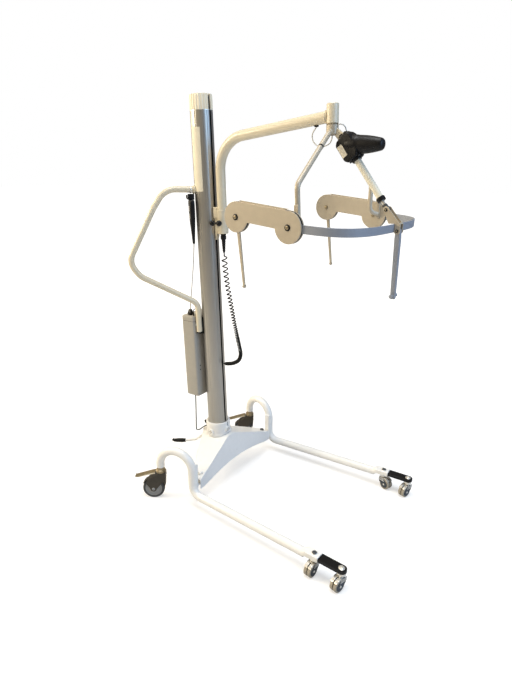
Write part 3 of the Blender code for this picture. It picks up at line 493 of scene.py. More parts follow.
def build_room_light():
    """White behind the object, and a soft light from all round that is weaker on the right."""
    world = bpy.data.worlds.new("studio")
    world.use_nodes = True
    tree = world.node_tree
    place = add_node(tree, "TexCoord")
    side = tree.nodes.new("ShaderNodeVectorMath")
    side.operation = "DOT_PRODUCT"
    side.inputs[1].default_value = (-0.8, -0.55, 0.25)
    tree.links.new(place.outputs["Generated"], side.inputs[0])
    halves = add_node(tree, "MapRange", From_Min=-1.0, Value=side.outputs["Value"])
    shades = add_ramp(tree, halves.outputs["Result"], (0.05, (0.055, 0.08, 0.13)), (0.8, (0.44, 0.37, 0.26)))
    seen = add_node(tree, "LightPath")
    mix = tree.nodes.new("ShaderNodeMix")
    mix.data_type = "RGBA"
    feed(tree, mix, Factor=seen.outputs["Is Camera Ray"], A=shades, B=(1.0, 1.0, 1.0, 1.0))
    feed(tree, tree.nodes["Background"], Color=mix.outputs["Result"])
    bpy.context.scene.world = world


def floor_surface():
    """A matt pale floor that glows for the camera alone, more towards the horizon."""
    ground = bpy.data.materials.new("pale_floor")
    ground.use_nodes = True
    tree = ground.node_tree
    place = add_node(tree, "TexCoord")
    reach = tree.nodes.new("ShaderNodeVectorMath")
    reach.operation = "LENGTH"
    tree.links.new(place.outputs["Object"], reach.inputs[0])
    spread = add_node(
        tree, "MapRange", From_Min=1.0, From_Max=4.0, To_Min=0.5, To_Max=1.0, Value=reach.outputs["Value"],
    )
    seen = add_node(tree, "LightPath")
    glow = tree.nodes.new("ShaderNodeMath")
    glow.operation = "MULTIPLY"
    tree.links.new(seen.outputs["Is Camera Ray"], glow.inputs[0])
    tree.links.new(spread.outputs["Result"], glow.inputs[1])
    feed(
        tree, tree.nodes["Principled BSDF"], Base_Color=(0.62, 0.62, 0.62, 1.0), Roughness=0.9,
        Specular_IOR_Level=0.1, Emission_Color=(1.0, 1.0, 1.0, 1.0), Emission_Strength=glow.outputs["Value"],
    )
    return ground


def build_studio():
    ground = floor_surface()
    shape = bmesh.new()
    corners = [shape.verts.new(p) for p in ((-30, -30, 0), (30, -30, 0), (30, 30, 0), (-30, 30, 0))]
    shape.faces.new(corners)
    mesh = bpy.data.meshes.new("floor")
    shape.to_mesh(mesh)
    shape.free()
    mesh.materials.append(ground)
    add_object("floor", mesh)
    build_room_light()
    for name, at, target, size, watts, colour in LAMPS:
        lamp(name, at, target, size, watts, colour)
    bpy.context.scene.view_settings.view_transform = "Standard"


# ---------------------------------------------------------------- cords


def smooth(points, count):
    """Evenly spaced points on a Catmull-Rom curve through the given points."""
    points = [Vector(point) for point in points]
    padded = [points[0] * 2 - points[1]] + points + [points[-1] * 2 - points[-2]]
    fine = []
    for a, b, c, d in zip(padded, padded[1:], padded[2:], padded[3:]):
        for i in range(20):
            t = i / 20
            fine.append(
                (
                    b * 2 + (c - a) * t + (a * 2 - b * 5 + c * 4 - d) * t**2 + (b * 3 - a - c * 3 + d) * t**3
                ) / 2
            )
    fine.append(points[-1])
    lengths = [0.0]
    for before, after in zip(fine, fine[1:]):
        lengths.append(lengths[-1] + (after - before).length)
    even = []
    place = 0
    for i in range(count):
        goal = lengths[-1] * i / (count - 1)
        while place < len(fine) - 2 and lengths[place + 1] < goal:
            place += 1
        part = (goal - lengths[place]) / (lengths[place + 1] - lengths[place])
        even.append(fine[place].lerp(fine[place + 1], part))
    return even


def route_length(path):
    return sum((after - before).length for before, after in zip(path, path[1:]))


def cord_piece(name, path, diameter, surface, frame, node, body, end_body=None):
    """A free cord: a tube along path that rides on a body, or, when it has an end body, stays loose with its
    transform baked in.
    """
    world = [SHIFT + frame @ point for point in path]
    shape = tube(path, diameter / 2, 10)
    obj = put(name, shape, surface, None if end_body else body, frame, (node,))
    if end_body:
        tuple(world[0])
        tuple(world[-1])
        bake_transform(obj)
    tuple(world[0])
    route_length(world)


COIL_LEAD, COIL_KNEE = 0.012, 0.308
COIL_PITCH, KNEE_PITCH, TIGHTER = 0.025, 0.011, 0.0046
COIL_SWELL, KNEE_SLIMMER, END_SLIMMER = 0.0108, 0.0038, 0.001
COIL_WIRE, TURN_POINTS = 0.0054, 16


def coil_route():
    """The coiled cable: open turns at the top that close to a ribbed tube and curve back to the mast."""
    line = smooth(
        [
            (BOOM_X, 0, 1.052 - GAP),
            (BOOM_X + 0.001, 0, 1.0),
            (0.092, 0, 0.92),
            (0.108, 0, 0.83),
            (0.124, 0, 0.741),
            (0.142, 0, 0.66),
            (0.15, 0, 0.617),
            (0.139, 0, 0.586),
            (0.11, 0, 0.566),
            (0.08, 0, 0.557),
            (MAST_R + 0.0012, 0, 0.552),
        ],
        400,
    )
    step = route_length(line) / (len(line) - 1)
    start, knee = int(COIL_LEAD / step), int(COIL_KNEE / step)
    stop = len(line) - start
    path = line[:start:6]
    turn = 0.0
    for i in range(start, stop):
        part = min((i - start) / (knee - start), 1.0)
        closed = max((i - knee) / (stop - knee), 0.0)
        pitch = COIL_PITCH * (1 - part) + KNEE_PITCH * part - TIGHTER * min(closed * 4, 1.0)
        turns = step / pitch
        ahead = (line[i + 1] - line[i]).normalized()
        side = Vector((0, 1, 0))
        front = side.cross(ahead).normalized()
        widest = COIL_SWELL - KNEE_SLIMMER * part - END_SLIMMER * closed
        swell = min(part / 0.03, 1.0, (1 - closed) / 0.04) * widest
        count = max(1, round(turns * TURN_POINTS))
        for k in range(count):
            angle = turn + math.tau * turns * k / count
            centre = line[i] + ahead * (step * k / count)
            path.append(centre + (front * math.cos(angle) + side * math.sin(angle)) * swell)
        turn += math.tau * turns
    path += line[stop + 6 :: 6]
    path.append(line[-1])
    return path


def build_cords():
    cord_piece("coil_lead", coil_route(), COIL_WIRE, CORD, UPRIGHT, "coil_cord", "carriage_and_boom", ROOT)
    near = handle_frame(-1)
    low = UPRIGHT.inverted() @ near @ Vector((0.0625, 0, 1.088 - GAP))
    high = Vector((-0.088, -0.046, 0.798 + GAP))
    handset = [
        low, low.lerp(high, 0.22) + Vector((0.004, -0.002, 0)),
        low.lerp(high, 0.55) + Vector((0.006, -0.004, 0)),
    ]
    handset += [low.lerp(high, 0.88) + Vector((0.001, -0.001, 0)), high]
    cord_piece("handset_lead", smooth(handset, 40), 0.005, CORD_GREY, UPRIGHT, "handset_cord", ROOT)
    supply = [
        (-0.09, -0.054, 0.3878),
        (-0.0905, -0.054, 0.31),
        (-0.092, -0.054, 0.23),
        (-0.0935, -0.051, 0.2),
        (-0.086, -0.043, 0.196),
        (-0.074, -0.034, 0.206),
        (-0.0655, -0.0275, 0.214),
        (-0.0535, -0.0215, 0.2225),
    ]
    cord_piece("supply_lead", smooth(supply, 48), 0.005, CORD, FLOOR, "supply_cord", ROOT)
    boom = [
        (-0.061, 0, 1.504 - GAP),
        (-0.074, -0.003, 1.484),
        (-0.071, -0.007, 1.462),
        (-0.052, -0.01, 1.444),
        (-0.028, -0.01, 1.44),
        (-0.01, -0.006, 1.446),
        (-0.002, -0.002, 1.458),
        (0.0, 0, HUB_LOW - GAP),
    ]
    cord_piece(
        "boom_lead", smooth(boom, 48), 0.004, CORD_GREY, UNDER_BOOM, "boom_cord", "carriage_and_boom",
        "cradle_frame",
    )
    drive = [
        (0.0212 + GAP, 0, 1.505),
        (0.03, 0.0005, 1.5065),
        (0.038, 0.005, 1.504),
        (0.0425, 0.012, 1.497),
        (0.043, 0.0175, 1.488),
        (0.047, 0.02, 1.4815),
        (0.0544, 0.021, 1.4749),
    ]
    cord_piece(
        "drive_lead", smooth(drive, 48), 0.004, CORD_GREY, SWIVEL, "drive_cord", "cradle_frame", "actuator",
    )


# ---------------------------------------------------------------- base


def housing_section(y, inset=0.0):
    """The base housing's cross-section at y: front low, front top, rear top, rear low."""
    out = min(max((abs(y) - 0.02) / 0.243, 0.0), 1.0)
    front_top = 0.075 + 0.041 * out
    front_low = 0.108 + 0.008 * out
    rear = -0.075 + 0.135 * out
    top = 0.205 - 0.089 * out
    low = 0.097 - 0.027 * min(out * 1.15, 1.0) ** 2
    return [
        (front_low - inset, y, low),
        (front_top - inset, y, top - inset),
        (rear + inset, y, top - inset),
        (rear + inset, y, low),
    ]


def build_base():
    ends = 0.263
    rows = [ends * (i / 12 - 1) for i in range(25)]
    rings = [housing_section(y) + housing_section(y, 0.004)[::-1] for y in rows]
    on_floor("base_shell", loft(rings), BASE, "base_housing", bevel=0.0018, sharp=25)
    collar = [(0.0462, 0.17), (0.0545, 0.17), (0.0565, 0.176), (0.0565, 0.256), (0.055, 0.2608)]
    collar += [(0.0525, 0.262), (0.048, 0.262), (0.0462, 0.2605)]
    on_mast("base_collar", ring_lathe(collar, 64), BASE)
    on_mast("collar_weld", moved(bead(0.0572, 0.0022, 64), shift(0, 0, 0.2055)), BASE)
    for tag, direction, z in (("side", (0, -1, 0), 0.218), ("front", (1, 0, 0.02), 0.225)):
        start = Vector(direction) * 0.05 + Vector((0, 0, z))
        boss = [(0.016, 0.0), (0.016, 0.0085), (0.0145, 0.0105), (0.01, 0.0108), (0.0094, 0.008)]
        on_mast(f"collar_boss_{tag}", aimed(lathe(boss), direction, start), BASE)
        head = aimed(bolt_head(0.0074, 0.004), direction, start + Vector(direction) * 0.0079)
        on_mast(f"collar_screw_{tag}", head, BRIGHT)
    slit = box((0.052, -0.001, 0.236), (0.0571, 0.001, 0.2622))
    on_mast("collar_slit", slit, RUBBER)
    for name, s in SIDES:
        x, y = PIVOT
        top = housing_section(y)[1][2]
        on_floor(f"pivot_washer_{name}", moved(lathe([(0.0125, 0), (0.0125, 0.0018), (0.0118, 0.0024)]),
            shift(x, s * y, top - 0.0004)), BRIGHT)
        head = moved(hex_head(0.0098, 0.0062), shift(x, s * y, top + 0.0018))
        on_floor(f"pivot_bolt_{name}", head, TYRE if s > 0 else BASE)
        pin = lathe([(0.006, 0.074), (0.006, 0.1235)], 24)
        on_floor(f"pivot_pin_{name}", moved(pin, shift(x, s * y, 0)), BRIGHT)


def build_pedals():
    hub_x, hub_z = -0.086, 0.155
    hub = aimed(
        lathe([(0.0108, -0.008), (0.012, -0.0068), (0.012, 0.0068), (0.0108, 0.008)]), (1, 0, 0),
        (hub_x, 0, hub_z),
    )
    on_pedal("pedal_hub", hub, CREAM, "pedal_bar")
    on_pedal("pedal_hub_bolt", aimed(hex_head(0.0068, 0.004), (-1, 0, 0), (hub_x - 0.008, 0, hub_z)), BRIGHT)
    for name, s in SIDES:
        joint = Vector((-0.124, s * 0.092, 0.148))
        tip = Vector((-0.178, s * 0.116, 0.141))
        rod = fillet(
            [(hub_x, 0, hub_z), (-0.0875, s * 0.062, 0.153), joint, tip * 0.4 + joint * 0.6], 0.014, 8,
        )
        on_pedal(f"pedal_rod_{name}", tube(rod, 0.0056, 18), WHITE)
        ahead = (tip - joint).normalized()
        start = joint + ahead * 0.004
        curl = [start, start + ahead * 0.03, tip, tip + ahead * 0.008 + Vector((0, 0, 0.003))]
        curl.append(tip + ahead * 0.012 + Vector((0, 0, 0.006)))
        line = smooth(curl, 26)
        sizes = []
        for i in range(26):
            part = i / 25
            swell = 0.001 * math.sin(math.pi * min(part / 0.75, 1.0))
            size = 0.0085 + swell - 0.0028 * max(part - 0.7, 0) / 0.3
            sizes.append(size + (0.0004 if i % 3 == 0 and 3 < i < 18 else 0.0))
        sizes[0], sizes[-1] = 0.0072, 0.0045
        on_pedal(f"pedal_rubber_{name}", tube(line, sizes, 22), RUBBER, f"pedal_grip_{name}")


# ---------------------------------------------------------------- legs and castors


def leg_path(s):
    rear = Vector((LEG_REAR[0], s * LEG_REAR[1], 0.0))
    post = Vector((LEG_POST[0], s * LEG_POST[1], 0.0))
    middle = (rear + post) / 2
    ahead = (post - rear).normalized()
    rise = 0.169
    path = [rear + Vector((0, 0, 0.155))]
    steps = 28
    for i in range(steps + 1):
        angle = math.pi * (1 - i / steps)
        path.append(
            middle + ahead * (ARCH_R * math.cos(angle)) + Vector((0, 0, rise + ARCH_R * math.sin(angle)))
        )
    run_end = Vector((RUN_END[0], s * RUN_END[1], RUN_END[2]))
    corner = post + Vector((0, 0, 0.056))
    bend = fillet([post + Vector((0, 0, 0.16)), corner, run_end], 0.046, 12)
    return path + bend[1:]


def swage_rings(round_end):
    """From the round end of the leg tube to the flat bracket."""
    rings = []
    for part in (0.0, 0.35, 0.7, 1.0):
        x = round_end.x - 0.004 + (-0.03 - round_end.x + 0.004) * part
        y = round_end.y * (1 - part)
        z = round_end.z * (1 - part) + 0.077 * part
        wide = (LEG_R - 0.0003) * (1 - part) + 0.0195 * part
        deep = (LEG_R - 0.0003) * (1 - part) + 0.0098 * part
        corner = min(wide, deep) * (0.999 - 0.75 * part)
        rings.append([(x, y + a, z + b) for a, b in rounded(wide, deep, corner, 7)])
    return rings


def leg_end(body, s):
    """The bracket and the black bar that carry the twin castors of one leg."""
    start = Vector((MID_CASTOR[0], s * MID_CASTOR[1], 0))
    end = Vector((FRONT_CASTOR[0], s * FRONT_CASTOR[1], 0))
    ahead = end - start
    turn = Matrix.Translation(start) @ Matrix.Rotation(math.atan2(ahead.y, ahead.x), 4, "Z")
    on_end = carrier(body, turn)
    on_end(f"{body}_bracket", box((-0.034, -0.02, 0.067), (0.0235, 0.02, 0.087)), WHITE, bevel=0.0022)
    round_end = turn.inverted() @ Vector((RUN_END[0], s * RUN_END[1], RUN_END[2]))
    rings = swage_rings(round_end)
    on_end(f"{body}_swage", loft(rings), WHITE)
    washer = lathe([(0.011, 0), (0.011, 0.0012), (0.0104, 0.0017)])
    on_end(f"{body}_bracket_washer", moved(washer, shift(0, 0, 0.0869)), BRIGHT)
    head = moved(bolt_head(0.0088, 0.0042), shift(0, 0, 0.0885))
    on_end(f"{body}_bracket_bolt", head, TYRE)
    outline = [(0.0238, -0.019)] + arc(0.019, -80, 80, 17, (0.1115, 0.0)) + [(0.0238, 0.019)]
    on_end(
        f"{body}_bar_plate", prism(outline, 0.071, 0.0845), BLACK_PAINT, f"{body}_bar", bevel=0.0016,
        steps=3,
    )
    washer = lathe([(0.0118, 0), (0.0118, 0.0011), (0.011, 0.0017)])
    reach = ahead.length
    on_end(f"{body}_bar_washer", moved(washer, shift(reach, 0, 0.0844)), BRIGHT)
    head = moved(bolt_head(0.0086, 0.0036), shift(reach, 0, 0.086))
    on_end(f"{body}_bar_bolt", head, BRIGHT)


def build_legs():
    for name, s in SIDES:
        body = f"leg_{name}"
        on_leg = carrier(body, FLOOR)
        on_leg(f"{body}_pipe", tube(leg_path(s), LEG_R, 36), WHITE, f"{body}_tube")
        low, high = between(s, 0.2695, 0.2805)
        on_leg(f"{body}_strip", box((0.084, low, 0.07), (0.108, high, 0.196)), WHITE, bevel=0.0015)
        lug = [(0.077, 0.222), (0.103, 0.222), (0.105, 0.275), (0.079, 0.275)]
        lug = prism([(x, s * y) for x, y in lug], 0.083, 0.095)
        on_leg(f"{body}_lug", lug, WHITE, bevel=0.0015)
        weld = [(0.0825, s * 0.2795, z) for z in (0.074, 0.192)]
        on_leg(f"{body}_weld", tube(weld, 0.0028, 10), WHITE)
        leg_end(body, s)


def rear_frame(s):
    """Swivel axes of a rear castor: x runs back along its trail."""
    return shift(LEG_REAR[0], s * LEG_REAR[1], 0) @ spun(180 + 35)


def rear_lever(name, on_lever):
    """The brake lever of a rear castor, with a rib down each side."""
    lever = [(0.0235, 0.129), (0.04, 0.1262), (0.106, 0.1048), (0.112, 0.106), (0.1125, 0.1092)]
    lever += [(0.107, 0.108), (0.04, 0.1294), (0.0235, 0.133)]
    on_lever(
        f"rear_lever_{name}", prism(lever, -0.013, 0.013, "Y"), BRASSY, f"rear_castor_{name}_brake",
        bevel=0.0008,
    )
    flange = [
        (0.024, 0.1252), (0.04, 0.1215), (0.096, 0.1052), (0.104, 0.1052), (0.04, 0.1275), (0.024, 0.13),
    ]
    for side in (-1, 1):
        rib = slab(flange, side, 0.0114, 0.013)
        # The ribs are drawn in a light copy of the lever metal: a painted highlight along the lever's edges.
        on_lever(f"rear_lever_rib_{name}_{side + 1}", rib, PAINTED_HIGHLIGHT_EDGE)


def rear_wheel(name, on_wheel):
    place = shift(WHEEL_TRAIL, 0, WHEEL_R) @ spun(90, "X")
    tyre = [(0.0365, 0.0105), (0.0372, 0.0118), (0.04, 0.0125), (0.044, 0.0122), (0.0468, 0.0102)]
    tyre += [(0.0479, 0.0065), (0.048, 0.002)]
    tyre = mirrored(tyre)
    on_wheel(f"rear_tyre_{name}", moved(ring_lathe(tyre, 64), place), TYRE, f"rear_castor_{name}_wheel")
    disc = [
        (0.006, 0.012), (0.0105, 0.012), (0.0125, 0.0088), (0.029, 0.0078), (0.0315, 0.0104),
        (0.0366, 0.0108),
    ]
    disc = mirrored(disc)
    on_wheel(f"rear_disc_{name}", moved(ring_lathe(disc, 64), place), DISC)


def build_rear_castors():
    trail = WHEEL_TRAIL
    hub = (trail, WHEEL_R)
    for name, s in SIDES:
        at, castor = rear_frame(s), f"rear_castor_{name}"
        on_fork, on_wheel = carrier(f"{castor}_swivel", at), carrier(f"{castor}_spin", at)
        on_lever = carrier(f"{castor}_lever", at)
        race = [(0.019, 0.1285), (0.0212, 0.13), (0.0212, 0.1345), (0.0196, 0.1352), (0.0196, 0.1362)]
        race += [(0.0206, 0.137), (0.0206, 0.14), (0.0165, 0.1425), (0.0165, 0.1546)]
        on_fork(f"rear_race_{name}", lathe(race, 48), BRASSY)
        cheek = [(-0.0205, 0.13), (-0.0215, 0.108), (-0.01, 0.086), (0.008, 0.062)]
        cheek += [(trail - 0.0145, 0.048)] + arc(0.0135, 205, 335, 9, hub) + [(trail + 0.018, 0.056)]
        cheek += [
            (trail + 0.03, 0.072), (trail + 0.027, 0.09), (trail + 0.018, 0.101), (trail + 0.002, 0.108),
            (0.0205, 0.127),
        ]
        for side in (-1, 1):
            plate = slab(cheek, side, 0.0138, 0.0176)
            nodes = (f"{castor}_fork",) if side < 0 else ()
            on_fork(f"rear_cheek_{name}_{side + 1}", plate, FORK, *nodes, bevel=0.0011)
            cap = aimed(bolt_head(0.007, 0.003), (0, side, 0), (trail, side * 0.0172, WHEEL_R))
            on_fork(f"rear_axle_{name}_{side + 1}", cap, DISC)
        inner = arc(0.052, 20, 168, 22, hub)
        crown = [(-0.0205, 0.13), (-0.0205, 0.1), (trail - 0.052, 0.064)] + inner[::-1]
        crown += [(trail + 0.027, 0.09), (trail + 0.018, 0.101), (trail + 0.002, 0.108), (0.0205, 0.127)]
        keep = [(x, z) for x, z in crown if not (z < 0.07 and x > trail)]
        on_fork(f"rear_crown_{name}", prism(keep, -0.014, 0.014, "Y"), FORK)
        rear_wheel(name, on_wheel)
        rear_lever(name, on_lever)


def wing_trim(name, side, on_hood):
    """Three bright strips on the wing of a twin castor."""
    for level in (0.0385, 0.0445, 0.0505):
        half = 0.0165 - (level - 0.0385) * 0.12
        strip = box((0.0035 - half + 0.001, 0, level), (0.0035 + half, 0.0006, level + 0.0028))
        strip = moved(strip, shift(0, 0.016 if side > 0 else -0.0166, 0))
        on_hood(f"{name}_trim_{side + 1}_{level}", strip, BRIGHT)


def twin_wheel(name, side, on_wheels):
    tread = [(0.017, 0.0017), (0.0238, 0.0017), (0.0248, 0.0025), (0.025, 0.0036), (0.025, 0.012)]
    tread += [(0.0246, 0.0134), (0.0232, 0.0144), (0.0192, 0.0145), (0.0186, 0.0138), (0.017, 0.0136)]
    place = shift(TWIN_TRAIL, 0, TWIN_R) @ Matrix.Rotation(math.radians(90) * side, 4, "X")
    nodes = (f"{name}_wheels",) if side < 0 else ()
    on_wheels(f"{name}_tread_{side + 1}", moved(ring_lathe(tread, 56), place), TREAD, *nodes)
    face = [
        (0.018, 0.0042), (0.018, 0.0134), (0.016, 0.0141), (0.014, 0.0128), (0.0075, 0.0122),
        (0.0065, 0.0136),
    ]
    face += [(0.005, 0.014)]
    on_wheels(f"{name}_face_{side + 1}", moved(lathe(face, 40), place), BLACK)
    screw = moved(bolt_head(0.0046, 0.0022, 20), place @ shift(0, 0, 0.016))
    on_wheels(f"{name}_screw_{side + 1}", screw, BRIGHT)


def build_twin_castors():
    trail = TWIN_TRAIL
    centre = (trail, TWIN_R)
    for name, spot, s, turn, top in TWINS:
        at = shift(spot[0], s * spot[1], 0) @ spun(turn)
        on_hood, on_wheels = carrier(f"{name}_swivel", at), carrier(f"{name}_spin", at)
        stem = [(0.0125, 0.052), (0.014, 0.0535), (0.014, 0.0565), (0.013, 0.0572), (0.013, 0.058)]
        stem += [
            (0.0158, 0.0588), (0.0165, 0.06), (0.0165, top - 0.0028), (0.0155, top - 0.0012),
            (0.0155, top - GAP),
        ]
        on_hood(f"{name}_stem", lathe(stem, 48), BRIGHT, f"{name}_hood")
        for side in (-1, 1):
            band = arc(0.03, 44, 178, 24, centre) + arc(0.027, 44, 178, 24, centre)[::-1]
            on_hood(f"{name}_band_{side + 1}", slab(band, side, 0.002, 0.0144), BRIGHT, bevel=0.0006)
            wing = arc(0.0175, 200, 352, 18, centre) + [
                (trail + 0.0185, 0.033), (0.0165, 0.05), (0.012, 0.0545),
            ]
            wing += [(-0.011, 0.0545), (-0.012, 0.044), (-0.008, 0.032)]
            on_hood(f"{name}_wing_{side + 1}", slab(wing, side, 0.0146, 0.0162), HOOD, bevel=0.0006)
            wing_trim(name, side, on_hood)
            twin_wheel(name, side, on_wheels)
        core = arc(0.0262, 40, 182, 24, centre) + [
            (-0.009, 0.03), (-0.006, 0.022),
        ] + arc(0.008, 200, 340, 8, centre)
        on_hood(f"{name}_core", prism(core, -0.0012, 0.0012, "Y"), BLACK)
        roof = arc(0.0296, 60, 165, 18, centre) + arc(0.0266, 60, 165, 18, centre)[::-1]
        on_hood(f"{name}_roof", prism(roof, -0.0064, 0.0064, "Y"), BLACK)
        neck = [(-0.009, 0.0535), (-0.009, 0.044), (0.014, 0.052), (0.013, 0.056)]
        on_hood(f"{name}_neck", prism(neck, -0.01, 0.01, "Y"), BLACK, bevel=0.001)


# ---------------------------------------------------------------- mast, handles, box, handset


FLUTES, FLUTE_HALF, FLUTE_DEPTH = (20, 340, 84, 276), 1.6, 0.001
STICKER_LOW, STICKER_TOP = 1.298, 1.54


def column_outline():
    """The extrusion's section: a slot at the front and four shallow flutes."""
    outer, inner = MAST_R, MAST_R - MAST_WALL
    open_out = math.degrees(math.asin(SLOT_HALF / outer))
    open_in = math.degrees(math.asin(SLOT_HALF / inner))
    outline = []
    count = 144
    for i in range(count + 1):
        angle = open_out + (360 - 2 * open_out) * i / count
        radius = outer
        for flute in FLUTES:
            if abs(angle - flute) < FLUTE_HALF:
                radius -= FLUTE_DEPTH
        outline.append((radius * math.cos(math.radians(angle)), radius * math.sin(math.radians(angle))))
    outline += arc(inner, 360 - open_in, open_in, 49)
    return outline


def build_mast():
    on_mast("column", prism(column_outline(), MAST_LOW, MAST_TOP), COLUMN, "mast_column")
    strip = box((0.0352, -0.0062, 0.265), (0.0382, 0.0062, CAP_TOP - 0.006))
    on_mast("slot_seal", strip, RUBBER, "slot_strip", bevel=0.0004)
    lips = [((0.0386, -0.0049), (0.044, -0.0035)), ((0.0386, 0.0035), (0.044, 0.0049))]
    for number, ((x0, y0), (x1, y1)) in enumerate(lips):
        on_mast(f"slot_lip_{number}", box((x0, y0, 0.264), (x1, y1, MAST_TOP - 0.002)), BLACK)
    ribs = []
    first = math.degrees(math.asin(0.0066 / MAST_R))
    count = 216
    for i in range(count + 1):
        angle = math.radians(first + (360 - 2 * first) * i / count)
        radius = MAST_R - 0.0006 + 0.0011 * math.cos(angle * 24)
        ribs.append((radius, angle))
    rings = []
    for z, shrink in (
        (MAST_TOP + GAP, 0.0), (CAP_TOP - 0.004, 0.0), (CAP_TOP - 0.0012, 0.0008), (CAP_TOP, 0.0028),
    ):
        ring = [((r - shrink) * math.cos(a), (r - shrink) * math.sin(a), z) for r, a in ribs]
        ring += [(0.0345, -0.0066, z), (0.0345, 0.0066, z)]
        rings.append(ring)
    on_mast("cap", loft(rings), CAP, "mast_cap")
    seam = ring_lathe(
        [
            (0.044, MAST_TOP - 0.0012), (0.0453, MAST_TOP - 0.0012), (0.0453, MAST_TOP + GAP),
            (0.044, MAST_TOP + GAP),
        ],
        64,
    )
    on_mast("cap_seam", seam, BRIGHT)
    outer, inner = MAST_R + 0.0005, MAST_R - 0.0002
    sticker = arc(outer, -117, -62, 24) + arc(inner, -117, -62, 24)[::-1]
    on_mast("blank_sticker", prism(sticker, STICKER_LOW, STICKER_TOP), LABEL)


def handle_frame(s):
    return UPRIGHT @ Matrix.Rotation(math.pi + s * -HANDLE_TURN, 4, "Z")


def build_handles():
    for name, s in SIDES:
        on_handle = carrier(ROOT, handle_frame(s))
        corners = [
            (0.0458, 0, HANDLE_Z),
            (0.168, 0, 1.312),
            (0.222, 0, 1.234),
            (0.336, 0, 1.03),
            (0.296, 0, 0.968),
            (0.062, 0, 0.832),
            (0.062, 0, 0.702),
        ]
        path = fillet(corners, HANDLE_BENDS, 14)
        on_handle(f"handle_pipe_{name}", tube(path, HANDLE_R, 32), CREAM, f"handle_{name}")
        ring = lathe([(0.0155, 0.0), (0.0165, 0.0012), (0.0165, 0.0068), (0.0155, 0.008)])
        on_handle(f"handle_collar_{name}", aimed(ring, (1, 0, 0), (0.0452, 0, HANDLE_Z)), CREAM)
        trim = lathe([(0.0136, 0.0), (0.014, 0.001), (0.014, 0.004), (0.0136, 0.005)])
        on_handle(f"handle_trim_{name}", aimed(trim, (1, 0, 0), (0.061, 0, 1.3066)), BRIGHT)
        plug = lathe([(0.0125, 0.0), (0.0132, 0.0014), (0.0132, 0.006)])
        on_handle(f"handle_plug_{name}", moved(plug, shift(0.062, 0, 0.697)), RUBBER)
        screw = aimed(bolt_head(0.0058, 0.003), (1, 0, 0), (0.0742, 0, 0.735))
        on_handle(f"handle_screw_{name}", screw, BRIGHT)
    inner, outer = MAST_R + GAP, 0.0491
    band = arc(outer, 114, 246, 34) + arc(inner, 114, 246, 34)[::-1]
    on_mast("clamp_band", prism(band, 0.694, 0.768), BLACK, "handle_clamp", bevel=0.0008)


def box_fittings():
    """The connector, the wire loop and the gland of the control box."""
    plug = rounded(0.011, 0.009, 0.003)
    spot = shift(-0.088, -0.046, 0)
    base = loft(
        [
            [(x * k, y * k, z) for x, y in plug]
            for z, k in ((0.7723, 1.0), (0.785, 1.0), (0.787, 0.86), (0.796, 0.62), (0.7978, 0.5))
        ]
    )
    put("box_plug", base, BLACK, frame=UPRIGHT @ spot, nodes=("box_connector",))
    bail = fillet(
        [(-0.06, -0.056, 0.768), (-0.06, -0.056, 0.8), (-0.06, -0.022, 0.808), (-0.06, -0.03, 0.768)], 0.005,
        5,
    )
    on_mast("box_bail", tube(bail, 0.0018, 12), BLACK)
    gland = lathe([(0.0075, 0.3922), (0.0075, 0.3895), (0.005, 0.388), (0.0042, 0.385)])
    gland = moved(gland, shift(-0.0835, -0.054, 0))
    on_mast("box_gland", gland, BLACK)


def build_box():
    on_box = carrier(ROOT, UPRIGHT @ shift(-0.0862, 0, 0))
    lower = prism(rounded(0.036, 0.07, 0.009), 0.396, 0.748)
    on_box("box_shell", lower, BOX, "control_box", bevel=0.0015)
    foot = loft(
        [
            [(x, y, z) for x, y in rounded(0.036 - e, 0.07 - e, 0.009 - e)]
            for z, e in ((0.392, 0.003), (0.3935, 0.0012), (0.3962, 0.0006))
        ]
    )
    on_box("box_foot", foot, BOX)
    seam = prism(rounded(0.0352, 0.0692, 0.0084), 0.747, 0.75)
    on_box("box_seam", seam, TYRE)
    levels = ((0.7495, 0.0), (0.768, 0.0), (0.7705, 0.0012), (0.772, 0.0034))
    lid = loft([[(x, y, z) for x, y in rounded(0.036 - e, 0.07 - e, 0.009 - e)] for z, e in levels])
    on_box("box_lid", lid, BOX)
    for number, z in enumerate((0.538, 0.518)):
        dot = aimed(bolt_head(0.003, 0.001, 20), (1, 0, 0), (0.0359, -0.045, z))
        on_box(f"box_dot_{number}", dot, RUBBER)
    for number, (y, z) in enumerate(((-0.058, 0.41), (0.058, 0.41), (-0.058, 0.735), (0.058, 0.735))):
        screw = aimed(bolt_head(0.0036, 0.0011, 20), (-1, 0, 0), (-0.0359, y, z))
        on_box(f"box_screw_{number}", screw, TYRE)
    panel = prism(rounded(0.048, 0.125, 0.006), -0.001, 0.0009)
    panel = aimed(panel, (-1, 0, 0), (-0.0359, 0, 0.575))
    on_box("box_panel", panel, BOX, bevel=0.0004)
    box_fittings()


